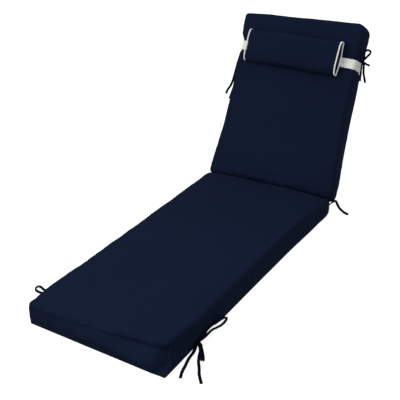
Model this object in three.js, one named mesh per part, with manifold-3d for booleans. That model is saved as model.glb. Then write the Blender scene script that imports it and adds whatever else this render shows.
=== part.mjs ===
// Chaise lounge cushion: a boxed foam cushion bent at its hinge seam, with a head pillow held by an
// elastic strap, and three pairs of fabric ties down each side. Millimetres, +Z up.
// The seat section lies flat on the surface and the back section is raised, as on a chaise.

import * as THREE from "three";
import { mergeVertices } from "three/addons/utils/BufferGeometryUtils.js";
import Module from "manifold-3d";

// Driving dimensions
const SEAT_LENGTH = 1155; // foot end to hinge seam
const BACK_LENGTH = 726; // hinge seam to head end
const BACK_ANGLE = THREE.MathUtils.degToRad(60.7); // back section above the surface
const HINGE_HEIGHT = 44; // hinge seam above the underside
const TOP_ROLL = 15; // roll of the foam along the top's long edges
const SEAM_ROLL = 3; // the sewn edge round the underside
const FOOT_ROLL = { top: 16, under: 3, left: 6, right: 6 }; // edges of the foot end
const HEAD_ROLL = { top: 14, under: 7, left: 16, right: 32 }; // edges of the head end
const HEAD_SKEW = Math.tan(THREE.MathUtils.degToRad(0.5)); // the back's head end is askew, higher at -X
const STRAP_SKEW = Math.tan(THREE.MathUtils.degToRad(3)); // and so is the strap, with the cloth it draws in
const STRAP_REACH = 130; // how far from the strap the cloth follows it
const STRAP_WIDTH = 38;
const STRAP_THICKNESS = 1.5;
const STRAP_ALONG = 572; // the strap's centre line, from the hinge seam
const STRAP_LIFT = 1.65; // between the cloth and the strap, over the cloth's own unevenness
const STRAP_TUCK = 14; // length of strap that lies under each end of the pillow
const PILLOW_LENGTH = 416;
const PILLOW_HEIGHT = 136;
const PILLOW_FRONT = 24; // swell of the pillow away from the cushion
const PILLOW_REAR = 20; // and towards it
const PILLOW_LIFT = 20; // the pillow's own middle plane, from the waist's face
const PILLOW_ALONG = 577; // the pillow's centre, from the hinge seam
const PILLOW_CENTRE = -9; // the pillow sits a little to one side
const PILLOW_TURN = THREE.MathUtils.degToRad(2.3); // and askew, higher at -X
const PILLOW_ROLL = THREE.MathUtils.degToRad(1.5); // its top edge leans away from the cushion
const PILLOW_SLANT = Math.tan(THREE.MathUtils.degToRad(1.3)); // its +X end stands further out
const PIPING_RADIUS = 2.8;
const TIE_WIDTH = 8;
const TIE_THICKNESS = 1.8;
const KNOT_RADII = [6.5, 7, 6.5];
const END_KNOT_RADIUS = 4;
const GAP = 0.4; // between pieces that touch

// The cushion's form, read along its length as if it lay flat, from the foot end to the hinge seam and
// from there to the head end. half is half the width at the underside's seam, swell and rim are how far
// the side panel and the top's edge stand out from that, centre is where the middle wanders to, side and
// middle are the height of the top at the long edges and on the centre line, and under is the height of
// the underside.
const SEAT_SECTIONS = [
  { at: 0, half: 276, swell: -14, rim: -6, centre: 0, side: 87, middle: 89, under: 0 },
  { at: 42, half: 275, swell: -1, rim: 3, centre: 0, side: 88, middle: 91, under: 0 },
  { at: 118, half: 274, swell: 3, rim: 4, centre: 0, side: 88, middle: 92, under: 0 },
  { at: 411, half: 271, swell: 4, rim: 4, centre: 1, side: 88, middle: 93, under: 0 },
  { at: 803, half: 273, swell: 4, rim: 4, centre: 1, side: 88, middle: 93, under: 0 },
  { at: 959, half: 277, swell: 4, rim: 4, centre: 2, side: 85, middle: 92, under: 0 },
  { at: 1048, half: 281, swell: 4, rim: 4, centre: -1, side: 80, middle: 90, under: 0 },
  { at: 1097, half: 285, swell: 4, rim: 4, centre: -3, side: 76, middle: 89, under: 0 },
  { at: 1118, half: 286, swell: 3, rim: 3, centre: -4, side: 73, middle: 87, under: 0 },
  { at: 1132, half: 285, swell: 2, rim: 2, centre: -5, side: 68, middle: 79, under: 2 },
  { at: 1144, half: 281, swell: 1, rim: 1, centre: -5, side: 57, middle: 59, under: 9 },
  { at: 1151, half: 277, swell: 0, rim: 0, centre: -6, side: 50, middle: 50.5, under: 24 },
];
const HINGE_SECTION = { half: 273, swell: 0, rim: 0, centre: -6, side: 49, middle: 49, under: 36 };
const BACK_SECTIONS = [
  { at: 4, half: 277, swell: 0, rim: 0, centre: -6, side: 50, middle: 50.5, under: 24 },
  { at: 12, half: 282, swell: 1, rim: 1, centre: -5, side: 58, middle: 60, under: 9 },
  { at: 24, half: 286, swell: 2, rim: 2, centre: -5, side: 69, middle: 79, under: 2 },
  { at: 39, half: 287, swell: 3, rim: 3, centre: -4, side: 75, middle: 88, under: 0 },
  { at: 74, half: 285, swell: 3, rim: 3, centre: -1, side: 80, middle: 93, under: 0 },
  { at: 147, half: 277, swell: 4, rim: 4, centre: 2, side: 85, middle: 94, under: 0 },
  { at: 255, half: 270, swell: 4, rim: 4, centre: 4, side: 87, middle: 92, under: 0 },
  { at: 373, half: 266, swell: 4, rim: 4, centre: 5, side: 88, middle: 91, under: 0 },
  { at: 471, half: 267, swell: 4, rim: 4, centre: 3, side: 87, middle: 89, under: 0 },
  { at: 520, half: 267, swell: 4, rim: 4, centre: 1, side: 85, middle: 86, under: 0 },
  { at: 541, half: 263, swell: 4, rim: 4, centre: 1, side: 83, middle: 83, under: 2 },
  { at: 552, half: 259, swell: 4, rim: 4, centre: 0, side: 81, middle: 81, under: 4 },
  { at: 593, half: 259, swell: 4, rim: 4, centre: 0, side: 81, middle: 81, under: 4 },
  { at: 607, half: 263, swell: 4, rim: 4, centre: -1, side: 84, middle: 85, under: 2 },
  { at: 629, half: 269, swell: 4, rim: 4, centre: -2, side: 88, middle: 91, under: 0 },
  { at: 677, half: 272, swell: 4, rim: 4, centre: -3, side: 89, middle: 94, under: 0 },
  { at: 726, half: 272, swell: 3, rim: 3, centre: -4, side: 87, middle: 91, under: 0 },
];
const WAIST = BACK_SECTIONS.find((row) => row.at > STRAP_ALONG); // the section that the strap draws in

// Where each pair of ties is knotted, its loops and short stubs, and its two free ends. Points are X, Y
// from the foot end, and Z above the surface; across is the way in which the flat strap is wide. Straps
// lie on the surface, lean on the cushion's side, or hang beside the raised back.
const LAID = 0.6 + TIE_THICKNESS / 2; // centre of a strap that lies flat on the surface
const ON_EDGE = 0.8 + TIE_WIDTH / 2; // centre of a strap that stands on its edge there
const TIES = [
  {
    name: "tie_foot_right",
    knot: [282.8, 177, 21],
    loops: [
      {
        across: [0.74, 0, 0.67],
        route: [[284, 203, 30], [284.5, 238, 33], [285, 272, 29], [285, 308, 22], [286, 333, 13],
          [288.5, 338, 8], [291, 329, 6.5], [291, 304, 6.5], [290, 266, 10], [289, 232, 13], [287, 203, 15]],
      },
      {
        across: [0.8, 0.6, 0],
        route: [[292, 171, 22], [301, 160, 15], [310, 149, 10.5], [318, 137, 8], [324, 129, 6],
          [326, 125, 4.8], [322, 130, 4], [313, 144, 5], [303, 157, 9.5]],
      },
    ],
    ends: [
      {
        side: "front",
        across: [1, 0.2, 0],
        route: [[280.5, 168, 13.5], [282, 158, 6], [284, 146, 2.4], [285.5, 132, LAID], [287.5, 116, LAID],
          [295, 89, LAID], [304, 56, LAID], [314, 32, LAID]],
      },
      {
        side: "outer",
        across: [0.83, 0.55, 0],
        route: [[293, 176, 13], [297, 170, 6], [300, 162, 2.6], [304, 151, LAID], [310, 138, LAID],
          [321, 119, LAID], [341, 92, LAID], [356, 70, LAID], [381, 43, LAID]],
      },
    ],
  },
  {
    name: "tie_foot_left",
    knot: [-282.5, 170, 20],
    loops: [
      {
        across: [0, 0, 1],
        route: [[-304, 170, 11], [-338, 168, ON_EDGE], [-371, 169, ON_EDGE], [-391, 175, ON_EDGE],
          [-402, 176, ON_EDGE], [-406, 168, ON_EDGE], [-399, 157, ON_EDGE], [-384, 150, ON_EDGE],
          [-366, 150, ON_EDGE], [-335, 154, ON_EDGE], [-304, 163, 11]],
      },
      {
        across: [1, 0, 0],
        route: [[-284, 198, 30], [-284.5, 226, 31], [-284, 252, 25], [-285, 264, 17], [-289, 258, 11],
          [-290, 234, 15], [-288, 204, 22]],
      },
    ],
    ends: [
      {
        side: "front",
        across: [1, 0.3, 0],
        route: [[-283, 160, 11], [-285, 152, 5], [-290, 140, LAID], [-298, 122, LAID], [-304, 100, LAID],
          [-305, 78, LAID], [-301, 58, LAID]],
      },
      {
        side: "rear",
        across: [1, -0.3, 0],
        route: [[-292, 179, 10], [-298, 187, 3.5], [-305, 199, LAID], [-312, 219, LAID],
          [-317, 246, LAID], [-318, 277, LAID], [-313, 310, LAID], [-303, 338, LAID]],
      },
    ],
  },
  {
    name: "tie_hinge_right",
    knot: [284, 1176, 43],
    loops: [],
    ends: [
      {
        side: "front",
        across: [0.3, 0.95, 0],
        endKnot: true,
        route: [[294, 1180, 38], [298, 1180.5, 31], [302, 1181, 24], [308, 1181, 15], [315, 1180.5, 8],
          [325, 1176, 3], [334, 1171, LAID], [344, 1167, LAID], [353, 1165, LAID]],
      },
      {
        side: "rear",
        across: [0.2, 1, 0],
        route: [[278, 1171, 34], [271, 1168, 26], [263, 1166, 16], [255, 1165, 8], [245, 1165, 3],
          [233, 1166, LAID], [215, 1168, LAID], [197, 1168, LAID]],
      },
    ],
  },
  {
    name: "tie_hinge_left",
    knot: [-294.4, 1176, 43],
    loops: [],
    ends: [
      {
        side: "front",
        across: [1, -0.2, 0],
        route: [[-300, 1167, 38], [-302, 1160, 27], [-304, 1151, 13], [-307, 1138, 3.5],
          [-311, 1120, LAID], [-313, 1098, LAID], [-311, 1076, LAID]],
      },
      {
        side: "rear",
        across: [0.2, -1, 0],
        route: [[-295, 1186, 38], [-295, 1194, 28], [-294, 1200, 16], [-291, 1205, 6], [-281, 1209, LAID],
          [-263, 1211, LAID], [-241, 1213, LAID], [-219, 1214, LAID]],
      },
    ],
  },
  {
    name: "tie_head_right",
    knot: [269, 1466, 541],
    loops: [
      {
        across: [0, 1, 0],
        route: [[274, 1466, 556], [277, 1466, 575], [282, 1466, 588], [290, 1466, 592], [299, 1466, 589],
          [302, 1466, 583], [297, 1466, 575], [286, 1466, 563], [279, 1466, 555]],
      },
    ],
    stub: {
      across: [0.3, 0.5, 0.8],
      route: [[279, 1466, 537], [287, 1466, 532.5], [296, 1466, 530]],
    },
    ends: [
      {
        side: "outer",
        across: [0, 1, 0],
        route: [[274, 1469, 530], [274, 1469, 520], [274, 1468, 508], [275, 1467, 495],
          [278, 1467, 480], [281, 1467, 467], [284, 1467, 454]],
      },
      {
        side: "rear",
        across: [0.2, 1, 0],
        route: [[270, 1456, 530.5], [271, 1454.5, 520], [270.5, 1454, 505], [271, 1451, 490],
          [271, 1448, 477], [271, 1444, 466]],
      },
    ],
  },
  {
    name: "tie_head_left",
    knot: [-273, 1472, 546],
    loops: [],
    ends: [
      {
        side: "front",
        across: [1, 0, 0],
        route: [[-281, 1461, 541], [-286, 1449, 531], [-289, 1432, 510], [-291, 1414, 488],
          [-293, 1394, 452], [-297, 1364, 405], [-301, 1336, 386], [-305, 1327, 371]],
      },
      {
        side: "rear",
        across: [1, 0, 0],
        route: [[-277, 1463, 533], [-278, 1448, 508], [-280, 1430, 478], [-283, 1408, 442],
          [-287, 1386, 410], [-290, 1363, 381], [-292, 1348, 360], [-293, 1336, 346]],
      },
    ],
  },
];

// Materials
const navyCloth = new THREE.MeshStandardMaterial({ color: 0x18223c, roughness: 0.9, metalness: 0 });
const navyTie = new THREE.MeshStandardMaterial({ color: 0x10162a, roughness: 0.9, metalness: 0 });
const whiteCord = new THREE.MeshStandardMaterial({ color: 0xf1f1ee, roughness: 0.7, metalness: 0 });
const whiteElastic = new THREE.MeshStandardMaterial({ color: 0xe2e5e0, roughness: 0.8, metalness: 0 });

const wasm = await Module();
wasm.setup();

const UNTRIMMED = { top: 0, under: 0, left: 0, right: 0 };

// One section's outline, anticlockwise seen from the foot, from the middle of the underside: points
// [x, height]. The long edges are rolled, the sides swell a little and the top is crowned. trim says how
// much is off each edge where an end is rolled.
function outline({ half, swell, rim, centre, side, middle, under }, trim = UNTRIMMED) {
  const low = under + trim.under;
  const high = side - trim.top;
  const roll = Math.min(TOP_ROLL, (high - low) * 0.38);
  const seam = Math.min(SEAM_ROLL, (high - low) / 4);
  const halfOutline = (width) => {
    const points = [[width * 0.5, low], [width * 0.85, low], [width - seam, low], [width, low + seam]];
    points.push([width + swell * 0.8, low + (high - low) * 0.3]);
    points.push([width + swell, low + (high - low) * 0.6]);
    const edge = width + rim;
    for (const turn of [0, 30, 60, 90].map(THREE.MathUtils.degToRad)) {
      points.push([edge - roll * (1 - Math.cos(turn)), high - roll * (1 - Math.sin(turn))]);
    }
    for (const share of [0.88, 0.66, 0.36]) {
      points.push([(edge - roll) * share, high + (middle - side) * (1 - share ** 4)]);
    }
    return points;
  };
  const right = halfOutline(half - trim.right);
  const left = halfOutline(half - trim.left).map(([x, height]) => [-x, height]).reverse();
  const points = [[0, low], ...right, [0, high + middle - side], ...left];
  return points.map(([x, height]) => [x + centre, height]);
}

// A section between the rows of a table, on a smooth curve through them.
function sectionAt(rows, at) {
  const next = Math.max(1, rows.findIndex((row) => row.at >= at));
  const [a, b] = [rows[next - 1], rows[next]];
  const share = THREE.MathUtils.clamp((at - a.at) / (b.at - a.at), 0, 1);
  const eased = (share + share * share * (3 - 2 * share)) / 2;
  const mixed = Object.keys(a).map((key) => [key, a[key] + (b[key] - a[key]) * eased]);
  return Object.fromEntries(mixed);
}

// From the back section's own measures, across, along from the hinge seam and above its underside, to a
// point in space.
function onBack(x, along, height) {
  const rise = height - HINGE_HEIGHT;
  return new THREE.Vector3(
    x,
    SEAT_LENGTH + along * Math.cos(BACK_ANGLE) - rise * Math.sin(BACK_ANGLE),
    HINGE_HEIGHT + along * Math.sin(BACK_ANGLE) + rise * Math.cos(BACK_ANGLE),
  );
}

// Where the cloth at x lies along the back, which is askew at the strap and a little at its head end.
function skewed(x, along) {
  const near = Math.max(0, 1 - Math.abs(along - STRAP_ALONG) / STRAP_REACH);
  const strap = (STRAP_SKEW - HEAD_SKEW) * THREE.MathUtils.smoothstep(near, 0, 1);
  return along - x * (strap + HEAD_SKEW * THREE.MathUtils.smoothstep(along, 0, STRAP_ALONG));
}

// A closed solid through rings of points, each end closed by a fan around its own middle point.
function loft(rings, first, last) {
  const count = rings[0].length;
  const positions = rings.flat().flatMap((point) => point.toArray());
  const faces = [];
  for (let ring = 0; ring < rings.length - 1; ring += 1) {
    for (let i = 0; i < count; i += 1) {
      const a = ring * count + i;
      const b = ring * count + ((i + 1) % count);
      faces.push(a, b + count, b, a, a + count, b + count);
    }
  }
  const start = positions.length / 3;
  positions.push(...first.toArray(), ...last.toArray());
  const end = (rings.length - 1) * count;
  for (let i = 0; i < count; i += 1) {
    const j = (i + 1) % count;
    faces.push(start, i, j, start + 1, end + j, end + i);
  }
  const geometry = new THREE.BufferGeometry();
  geometry.setAttribute("position", new THREE.Float32BufferAttribute(positions, 3));
  geometry.setIndex(faces);
  geometry.computeVertexNormals();
  return geometry;
}

// How much a roll of this radius takes off an edge at a distance inside the end.
function rolledOff(radius, inside) {
  return inside >= radius ? 0 : radius - Math.sqrt(radius ** 2 - (radius - inside) ** 2);
}

// How far an end panel stands out at a share of its height: drawn in under its top roll, full below it.
function panelSwell(share) {
  const rows = [[0, 0], [0.25, 5], [0.42, 5], [0.62, -1], [0.8, -1.5], [1, 0]];
  const next = Math.max(1, rows.findIndex((row) => row[0] >= share));
  const [a, b] = [rows[next - 1], rows[next]];
  return a[1] + (b[1] - a[1]) * THREE.MathUtils.clamp((share - a[0]) / (b[0] - a[0]), 0, 1);
}

// The rings that close an end of the cushion, from its first rolled one to the last in its panel. end is
// the end's place along the cushion and way is -1 at the foot and +1 at the head. Each ring's points are
// [x, height, along].
function endRings(section, end, way, roll) {
  const rings = [];
  const insides = [34, 20, 12, 6, 2, 0].filter((inside) => inside <= Math.max(...Object.values(roll)) + 2);
  for (const inside of insides) {
    const trim = Object.fromEntries(Object.entries(roll).map(([edge, r]) => [edge, rolledOff(r, inside)]));
    rings.push(outline(section, trim).map(([x, height]) => [x, height, end - way * inside]));
  }
  const rim = rings.at(-1);
  const centre = section.side * 0.46;
  for (const scale of [0.86, 0.62, 0.34]) {
    rings.push(rim.map(([x, height]) => {
      const at = centre + (height - centre) * scale;
      const share = at / section.side;
      const across = section.centre + (x - section.centre) * (1 - (1 - scale) * 0.8);
      return [across, at, end + way * panelSwell(share) * (1 - scale ** 4)];
    }));
  }
  const tip = [section.centre, centre, end + way * panelSwell(centre / section.side)];
  return { rings, tip };
}

// The cushion: one filled solid with its crown, drawn-in sides and sewn hinge channel.
function cushionGeometry() {
  const toSeat = ([x, height, at]) => new THREE.Vector3(x, at, height);
  const toBack = ([x, height, at]) => onBack(x, skewed(x, at), height);
  const placed = (rows, at) => outline(sectionAt(rows, at)).map(([x, height]) => [x, height, at]);
  const foot = endRings(SEAT_SECTIONS[0], 0, -1, FOOT_ROLL);
  const head = endRings(BACK_SECTIONS.at(-1), BACK_LENGTH, 1, HEAD_ROLL);
  const seatPlaces = [42, 75, 118, 215, 315, 411, 540, 670, 803, 880, 959, 1010, 1048, 1076, 1097, 1118, 1132,
    1144, 1151];
  const backPlaces = [4, 12, 24, 39, 55, 74, 108, 147, 200, 255, 315, 373, 425, 471, 500, 520, 532, 541,
    547, 552, 593, 600, 607, 617, 629, 648, 672];
  const hinge = outline(HINGE_SECTION).map(([x, height]) => {
    const rise = height - HINGE_HEIGHT;
    const half = BACK_ANGLE / 2;
    return new THREE.Vector3(x, SEAT_LENGTH - rise * Math.sin(half), HINGE_HEIGHT + rise * Math.cos(half));
  });
  const rings = [
    ...foot.rings.reverse().map((ring) => ring.map(toSeat)),
    ...seatPlaces.map((at) => placed(SEAT_SECTIONS, at).map(toSeat)),
    hinge,
    ...backPlaces.map((at) => placed(BACK_SECTIONS, at).map(toBack)),
    ...head.rings.map((ring) => ring.map(toBack)),
  ];
  return loft(rings, toSeat(foot.tip), toBack(head.tip));
}

// A point of the pillow: x along it from its middle, v up its height and w off the cushion's face. The
// pillow's rear lies flat against the face, clear of the strap at its ends; clear is kept free besides.
function onPillow(x, v, w, clear = 0) {
  const up = v * Math.cos(PILLOW_ROLL) - w * Math.sin(PILLOW_ROLL);
  const off = v * Math.sin(PILLOW_ROLL) + w * Math.cos(PILLOW_ROLL);
  const across = PILLOW_CENTRE + x * Math.cos(PILLOW_TURN) + up * Math.sin(PILLOW_TURN);
  const along = PILLOW_ALONG + up * Math.cos(PILLOW_TURN) - x * Math.sin(PILLOW_TURN);
  const overStrap = Math.abs(x) > PILLOW_LENGTH / 2 - STRAP_TUCK * 2;
  const face = sectionAt(BACK_SECTIONS, along + across * STRAP_SKEW).middle;
  const lowest = face + clear + (overStrap ? STRAP_THICKNESS + STRAP_LIFT + 2 * GAP : 2 * GAP);
  return onBack(across, along, Math.max(lowest, WAIST.middle + PILLOW_LIFT + x * PILLOW_SLANT + off));
}

// The pillow's section, a flat slab with round edges, as [v, w] points. inset makes it smaller.
function slab(inset = 0) {
  const steps = 13;
  const reach = PILLOW_HEIGHT / 2 - inset;
  const side = (way, swell) => Array.from({ length: steps }, (_, i) => {
    const turn = (i / steps) * Math.PI;
    const depth = (swell - inset) * (1 - Math.abs(Math.cos(turn)) ** 3.5) ** 0.32;
    return [way * reach * Math.cos(turn), way * depth];
  });
  return [...side(1, PILLOW_FRONT), ...side(-1, PILLOW_REAR)];
}

function pillowGeometry() {
  const half = PILLOW_LENGTH / 2;
  const sections = [
    { x: half, inset: 3.2, fuller: 1 },
    { x: half - 1.2, inset: 1, fuller: 1 },
    { x: half - 5, inset: 0, fuller: 1 },
    { x: half - 60, inset: 0, fuller: 1.12 },
    { x: half - 140, inset: 0, fuller: 1.25 },
  ];
  const mirrored = sections.map((section) => ({ ...section, x: -section.x })).reverse();
  const rings = [...sections, ...mirrored].map(({ x, inset, fuller }) =>
    slab(inset).map(([v, w]) => onPillow(x, v, w > 0 ? w * fuller : w)));
  const panelSwell = 2;
  const panelMiddle = (PILLOW_FRONT - PILLOW_REAR) / 2;
  return loft(rings, onPillow(half + panelSwell, 0, panelMiddle), onPillow(-half - panelSwell, 0, panelMiddle));
}

// Piping round one end of the pillow, sewn into the seam of the end panel.
function pipingGeometry(way) {
  const inset = 2;
  const beside = way * (PILLOW_LENGTH / 2 + PIPING_RADIUS + 3 * GAP);
  const round = slab(inset).map(([v, w]) => onPillow(beside, v, w, PIPING_RADIUS));
  const path = new THREE.CatmullRomCurve3(round, true);
  return new THREE.TubeGeometry(path, 44, PIPING_RADIUS, 6, true);
}

// A path for a flat strap that keeps its width along one direction.
class StrapPath extends THREE.CatmullRomCurve3 {
  constructor(points, across) {
    super(points);
    this.across = across.clone().normalize();
  }

  computeFrenetFrames(segments) {
    const tangents = [];
    const normals = [];
    const binormals = [];
    for (let i = 0; i <= segments; i += 1) {
      const tangent = this.getTangentAt(i / segments);
      const normal = new THREE.Vector3().crossVectors(tangent, this.across).normalize();
      tangents.push(tangent);
      normals.push(normal);
      binormals.push(new THREE.Vector3().crossVectors(tangent, normal).normalize());
    }
    return { tangents, normals, binormals };
  }
}

// A flat strap along a path, with softened edges if soft.
function strapGeometry(path, width, thickness, steps, soft = true) {
  const [w, t] = [width / 2, thickness / 2];
  const corners = soft
    ? [[t, w * 0.82], [t * 0.45, w], [-t * 0.45, w], [-t, w * 0.82],
      [-t, -w * 0.82], [-t * 0.45, -w], [t * 0.45, -w], [t, -w * 0.82]]
    : [[t, w], [-t, w], [-t, -w], [t, -w]];
  const section = new THREE.Shape(corners.map(([x, y]) => new THREE.Vector2(x, y)));
  return new THREE.ExtrudeGeometry(section, { steps, extrudePath: path });
}

// The elastic strap: from under one end of the pillow, round the waist it draws in, to the other end.
function elasticGeometry() {
  const off = STRAP_LIFT + STRAP_THICKNESS / 2;
  const { half, swell, centre, side, under } = WAIST;
  const roll = TOP_ROLL + off;
  const out = half + swell + off;
  const [top, bottom] = [side + off, under - off];
  const halfRoute = (start) => {
    const points = [[start, top], [(start + out - roll) / 2, top], [out - roll, top]];
    for (const turn of [22, 45, 68].map(THREE.MathUtils.degToRad)) {
      points.push([out - roll * (1 - Math.sin(turn)), top - roll * (1 - Math.cos(turn))]);
    }
    points.push([out, top - roll], [out, (top + bottom) / 2], [out - 0.5, bottom + 8]);
    points.push([out - 3.5, bottom + 1.6], [out - 10, bottom], [half * 0.6, bottom], [half * 0.25, bottom]);
    return points;
  };
  const tucked = PILLOW_LENGTH / 2 - STRAP_TUCK;
  const right = halfRoute(tucked + PILLOW_CENTRE);
  const left = halfRoute(tucked - PILLOW_CENTRE).map(([x, height]) => [-x, height]).reverse();
  const points = [...right, ...left].map(([x, height]) =>
    onBack(x + centre, STRAP_ALONG - x * STRAP_SKEW, height));
  const across = onBack(STRAP_SKEW, 1, HINGE_HEIGHT).sub(onBack(0, 0, HINGE_HEIGHT));
  return strapGeometry(new StrapPath(points, across), STRAP_WIDTH, STRAP_THICKNESS, 96, false);
}

// A geometry as a manifold-3d solid, and back again.
function toSolid(geometry) {
  const bare = geometry.clone();
  for (const name of ["normal", "uv"]) {
    bare.deleteAttribute(name);
  }
  const merged = mergeVertices(bare, 1e-3);
  const vertProperties = new Float32Array(merged.attributes.position.array);
  const triVerts = new Uint32Array(merged.index.array);
  return new wasm.Manifold(new wasm.Mesh({ numProp: 3, vertProperties, triVerts }));
}

function toGeometry(solid) {
  const mesh = solid.getMesh();
  const geometry = new THREE.BufferGeometry();
  geometry.setAttribute("position", new THREE.Float32BufferAttribute(mesh.vertProperties, 3));
  geometry.setIndex(Array.from(mesh.triVerts));
  geometry.computeVertexNormals();
  return geometry;
}

function toPoints(route) {
  return route.map((point) => new THREE.Vector3(...point));
}

// A small lump of knotted strap.
function lumpSolid(place, radii, around) {
  const lump = new THREE.SphereGeometry(1, around, Math.round(around * 0.7));
  lump.scale(...radii);
  lump.translate(...place);
  return toSolid(lump);
}

// The knot of one pair of ties, pulled tight into one lump with its loops and a short stub.
function knotGeometry({ knot, loops, stub }) {
  let solid = lumpSolid(knot, KNOT_RADII, 12);
  const add = (route, across, steps) => {
    const path = new StrapPath(toPoints(route), new THREE.Vector3(...across));
    solid = solid.add(toSolid(strapGeometry(path, TIE_WIDTH, TIE_THICKNESS, steps, false)));
  };
  for (const { across, route } of loops) {
    const turn = Math.ceil(route.length / 2);
    add([knot, ...route.slice(0, turn)], across, 14);
    add([...route.slice(turn - 1), knot], across, 14);
  }
  if (stub) {
    add([knot, ...stub.route], stub.across, 5);
    solid = solid.add(lumpSolid(stub.route.at(-1), [5, 5, 5], 10));
  }
  return toGeometry(solid);
}

// The place just outside a knot's lump, towards a point.
function besideKnot(knot, point) {
  const centre = new THREE.Vector3(...knot);
  const way = new THREE.Vector3(...point).sub(centre).normalize();
  const reach = 1 / way.clone().divide(new THREE.Vector3(...KNOT_RADII)).length();
  return centre.addScaledVector(way, reach + GAP);
}

// One free end of a tie, from its knot to where the strap stops, with a small knot there if it has one.
function endGeometry(knot, { across, route, endKnot }) {
  const path = new StrapPath([besideKnot(knot, route[0]), ...toPoints(route)], new THREE.Vector3(...across));
  const steps = Math.ceil(path.getLength() / TIE_WIDTH);
  const strap = strapGeometry(path, TIE_WIDTH, TIE_THICKNESS, steps);
  if (!endKnot) {
    return strap;
  }
  const [x, y] = route.at(-1);
  const radius = END_KNOT_RADIUS;
  return toGeometry(toSolid(strap).add(lumpSolid([x, y, radius + 0.3], [radius, radius, radius], 10)));
}

function piece(name, geometry, material) {
  const mesh = new THREE.Mesh(geometry, material);
  mesh.name = name;
  return mesh;
}

const chaise = new THREE.Group();
chaise.add(
  piece("cushion", cushionGeometry(), navyCloth),
  piece("head_pillow", pillowGeometry(), navyCloth),
  piece("pillow_piping_right", pipingGeometry(1), whiteCord),
  piece("pillow_piping_left", pipingGeometry(-1), whiteCord),
  piece("pillow_strap", elasticGeometry(), whiteElastic),
);
const own = new THREE.Box3().setFromObject(chaise);
for (const tie of TIES) {
  chaise.add(piece(`${tie.name}_knot`, knotGeometry(tie), navyTie));
  for (const end of tie.ends) {
    chaise.add(piece(`${tie.name}_${end.side}`, endGeometry(tie.knot, end), navyTie));
  }
}

// The origin is under the middle of the cushion, on the surface.
chaise.position.x = -(own.min.x + own.max.x) / 2;
chaise.position.y = -(own.min.y + own.max.y) / 2;

export default chaise;
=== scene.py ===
"""Chaise lounge cushion with its head pillow, elastic strap and fabric ties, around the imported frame."""

import math

import bpy
import numpy as np
from mathutils import Matrix, Vector


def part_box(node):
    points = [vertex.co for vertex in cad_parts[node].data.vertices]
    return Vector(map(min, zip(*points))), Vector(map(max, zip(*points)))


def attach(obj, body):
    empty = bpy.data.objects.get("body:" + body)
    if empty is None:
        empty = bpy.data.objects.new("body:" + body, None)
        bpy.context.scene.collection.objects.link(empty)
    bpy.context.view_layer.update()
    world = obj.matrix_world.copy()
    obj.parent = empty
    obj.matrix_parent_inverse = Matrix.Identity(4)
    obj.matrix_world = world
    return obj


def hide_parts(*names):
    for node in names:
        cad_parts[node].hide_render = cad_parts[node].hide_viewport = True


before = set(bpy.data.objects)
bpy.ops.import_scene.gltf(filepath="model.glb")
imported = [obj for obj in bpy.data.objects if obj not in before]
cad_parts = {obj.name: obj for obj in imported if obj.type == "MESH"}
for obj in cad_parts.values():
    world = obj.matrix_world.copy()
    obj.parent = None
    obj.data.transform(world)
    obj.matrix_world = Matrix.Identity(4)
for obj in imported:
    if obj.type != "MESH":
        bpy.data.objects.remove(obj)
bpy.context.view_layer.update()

bl_info = {
    "name": "Chaise Lounge Cushion",
    "version": (1, 0, 0),
    "blender": (4, 5, 0),
    "location": "View3D > Sidebar > Chaise",
    "description": "A hinged outdoor chaise cushion with its head pillow, strap and ties, and a plain studio",
    "category": "Object",
}

MM = 0.001
FOOT_BULGE = 0.005  # how far the solid's foot panel stands out past its seam
FOOT_MIDDLE_X = 0.0035  # the middle of the foot's seam across the frame
FOOT_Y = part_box("cushion")[0].y + FOOT_BULGE  # the foot's seam along the frame
ORIGIN = np.array([FOOT_MIDDLE_X, FOOT_Y, 0.0])

# The cushion's build, from the foot's seam, in metres
SEAT_LENGTH = 1.155
BACK_LENGTH = 0.726
BACK_ANGLE = math.radians(60.7)
HINGE_HEIGHT = 0.044
TOP_ROLL = 0.015
SEAM_ROLL = 0.003
FOOT_ROLL = {"top": 0.016, "under": 0.003, "left": 0.006, "right": 0.006}
HEAD_ROLL = {"top": 0.014, "under": 0.007, "left": 0.016, "right": 0.032}
HEAD_SKEW = math.tan(math.radians(0.5))
STRAP_SKEW = math.tan(math.radians(3.0))
STRAP_REACH = 0.130
STRAP_ALONG = 0.572
STRAP_LIFT = 0.00165
STRAP_THICKNESS = 0.0015
GAP = 0.0004

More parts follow.
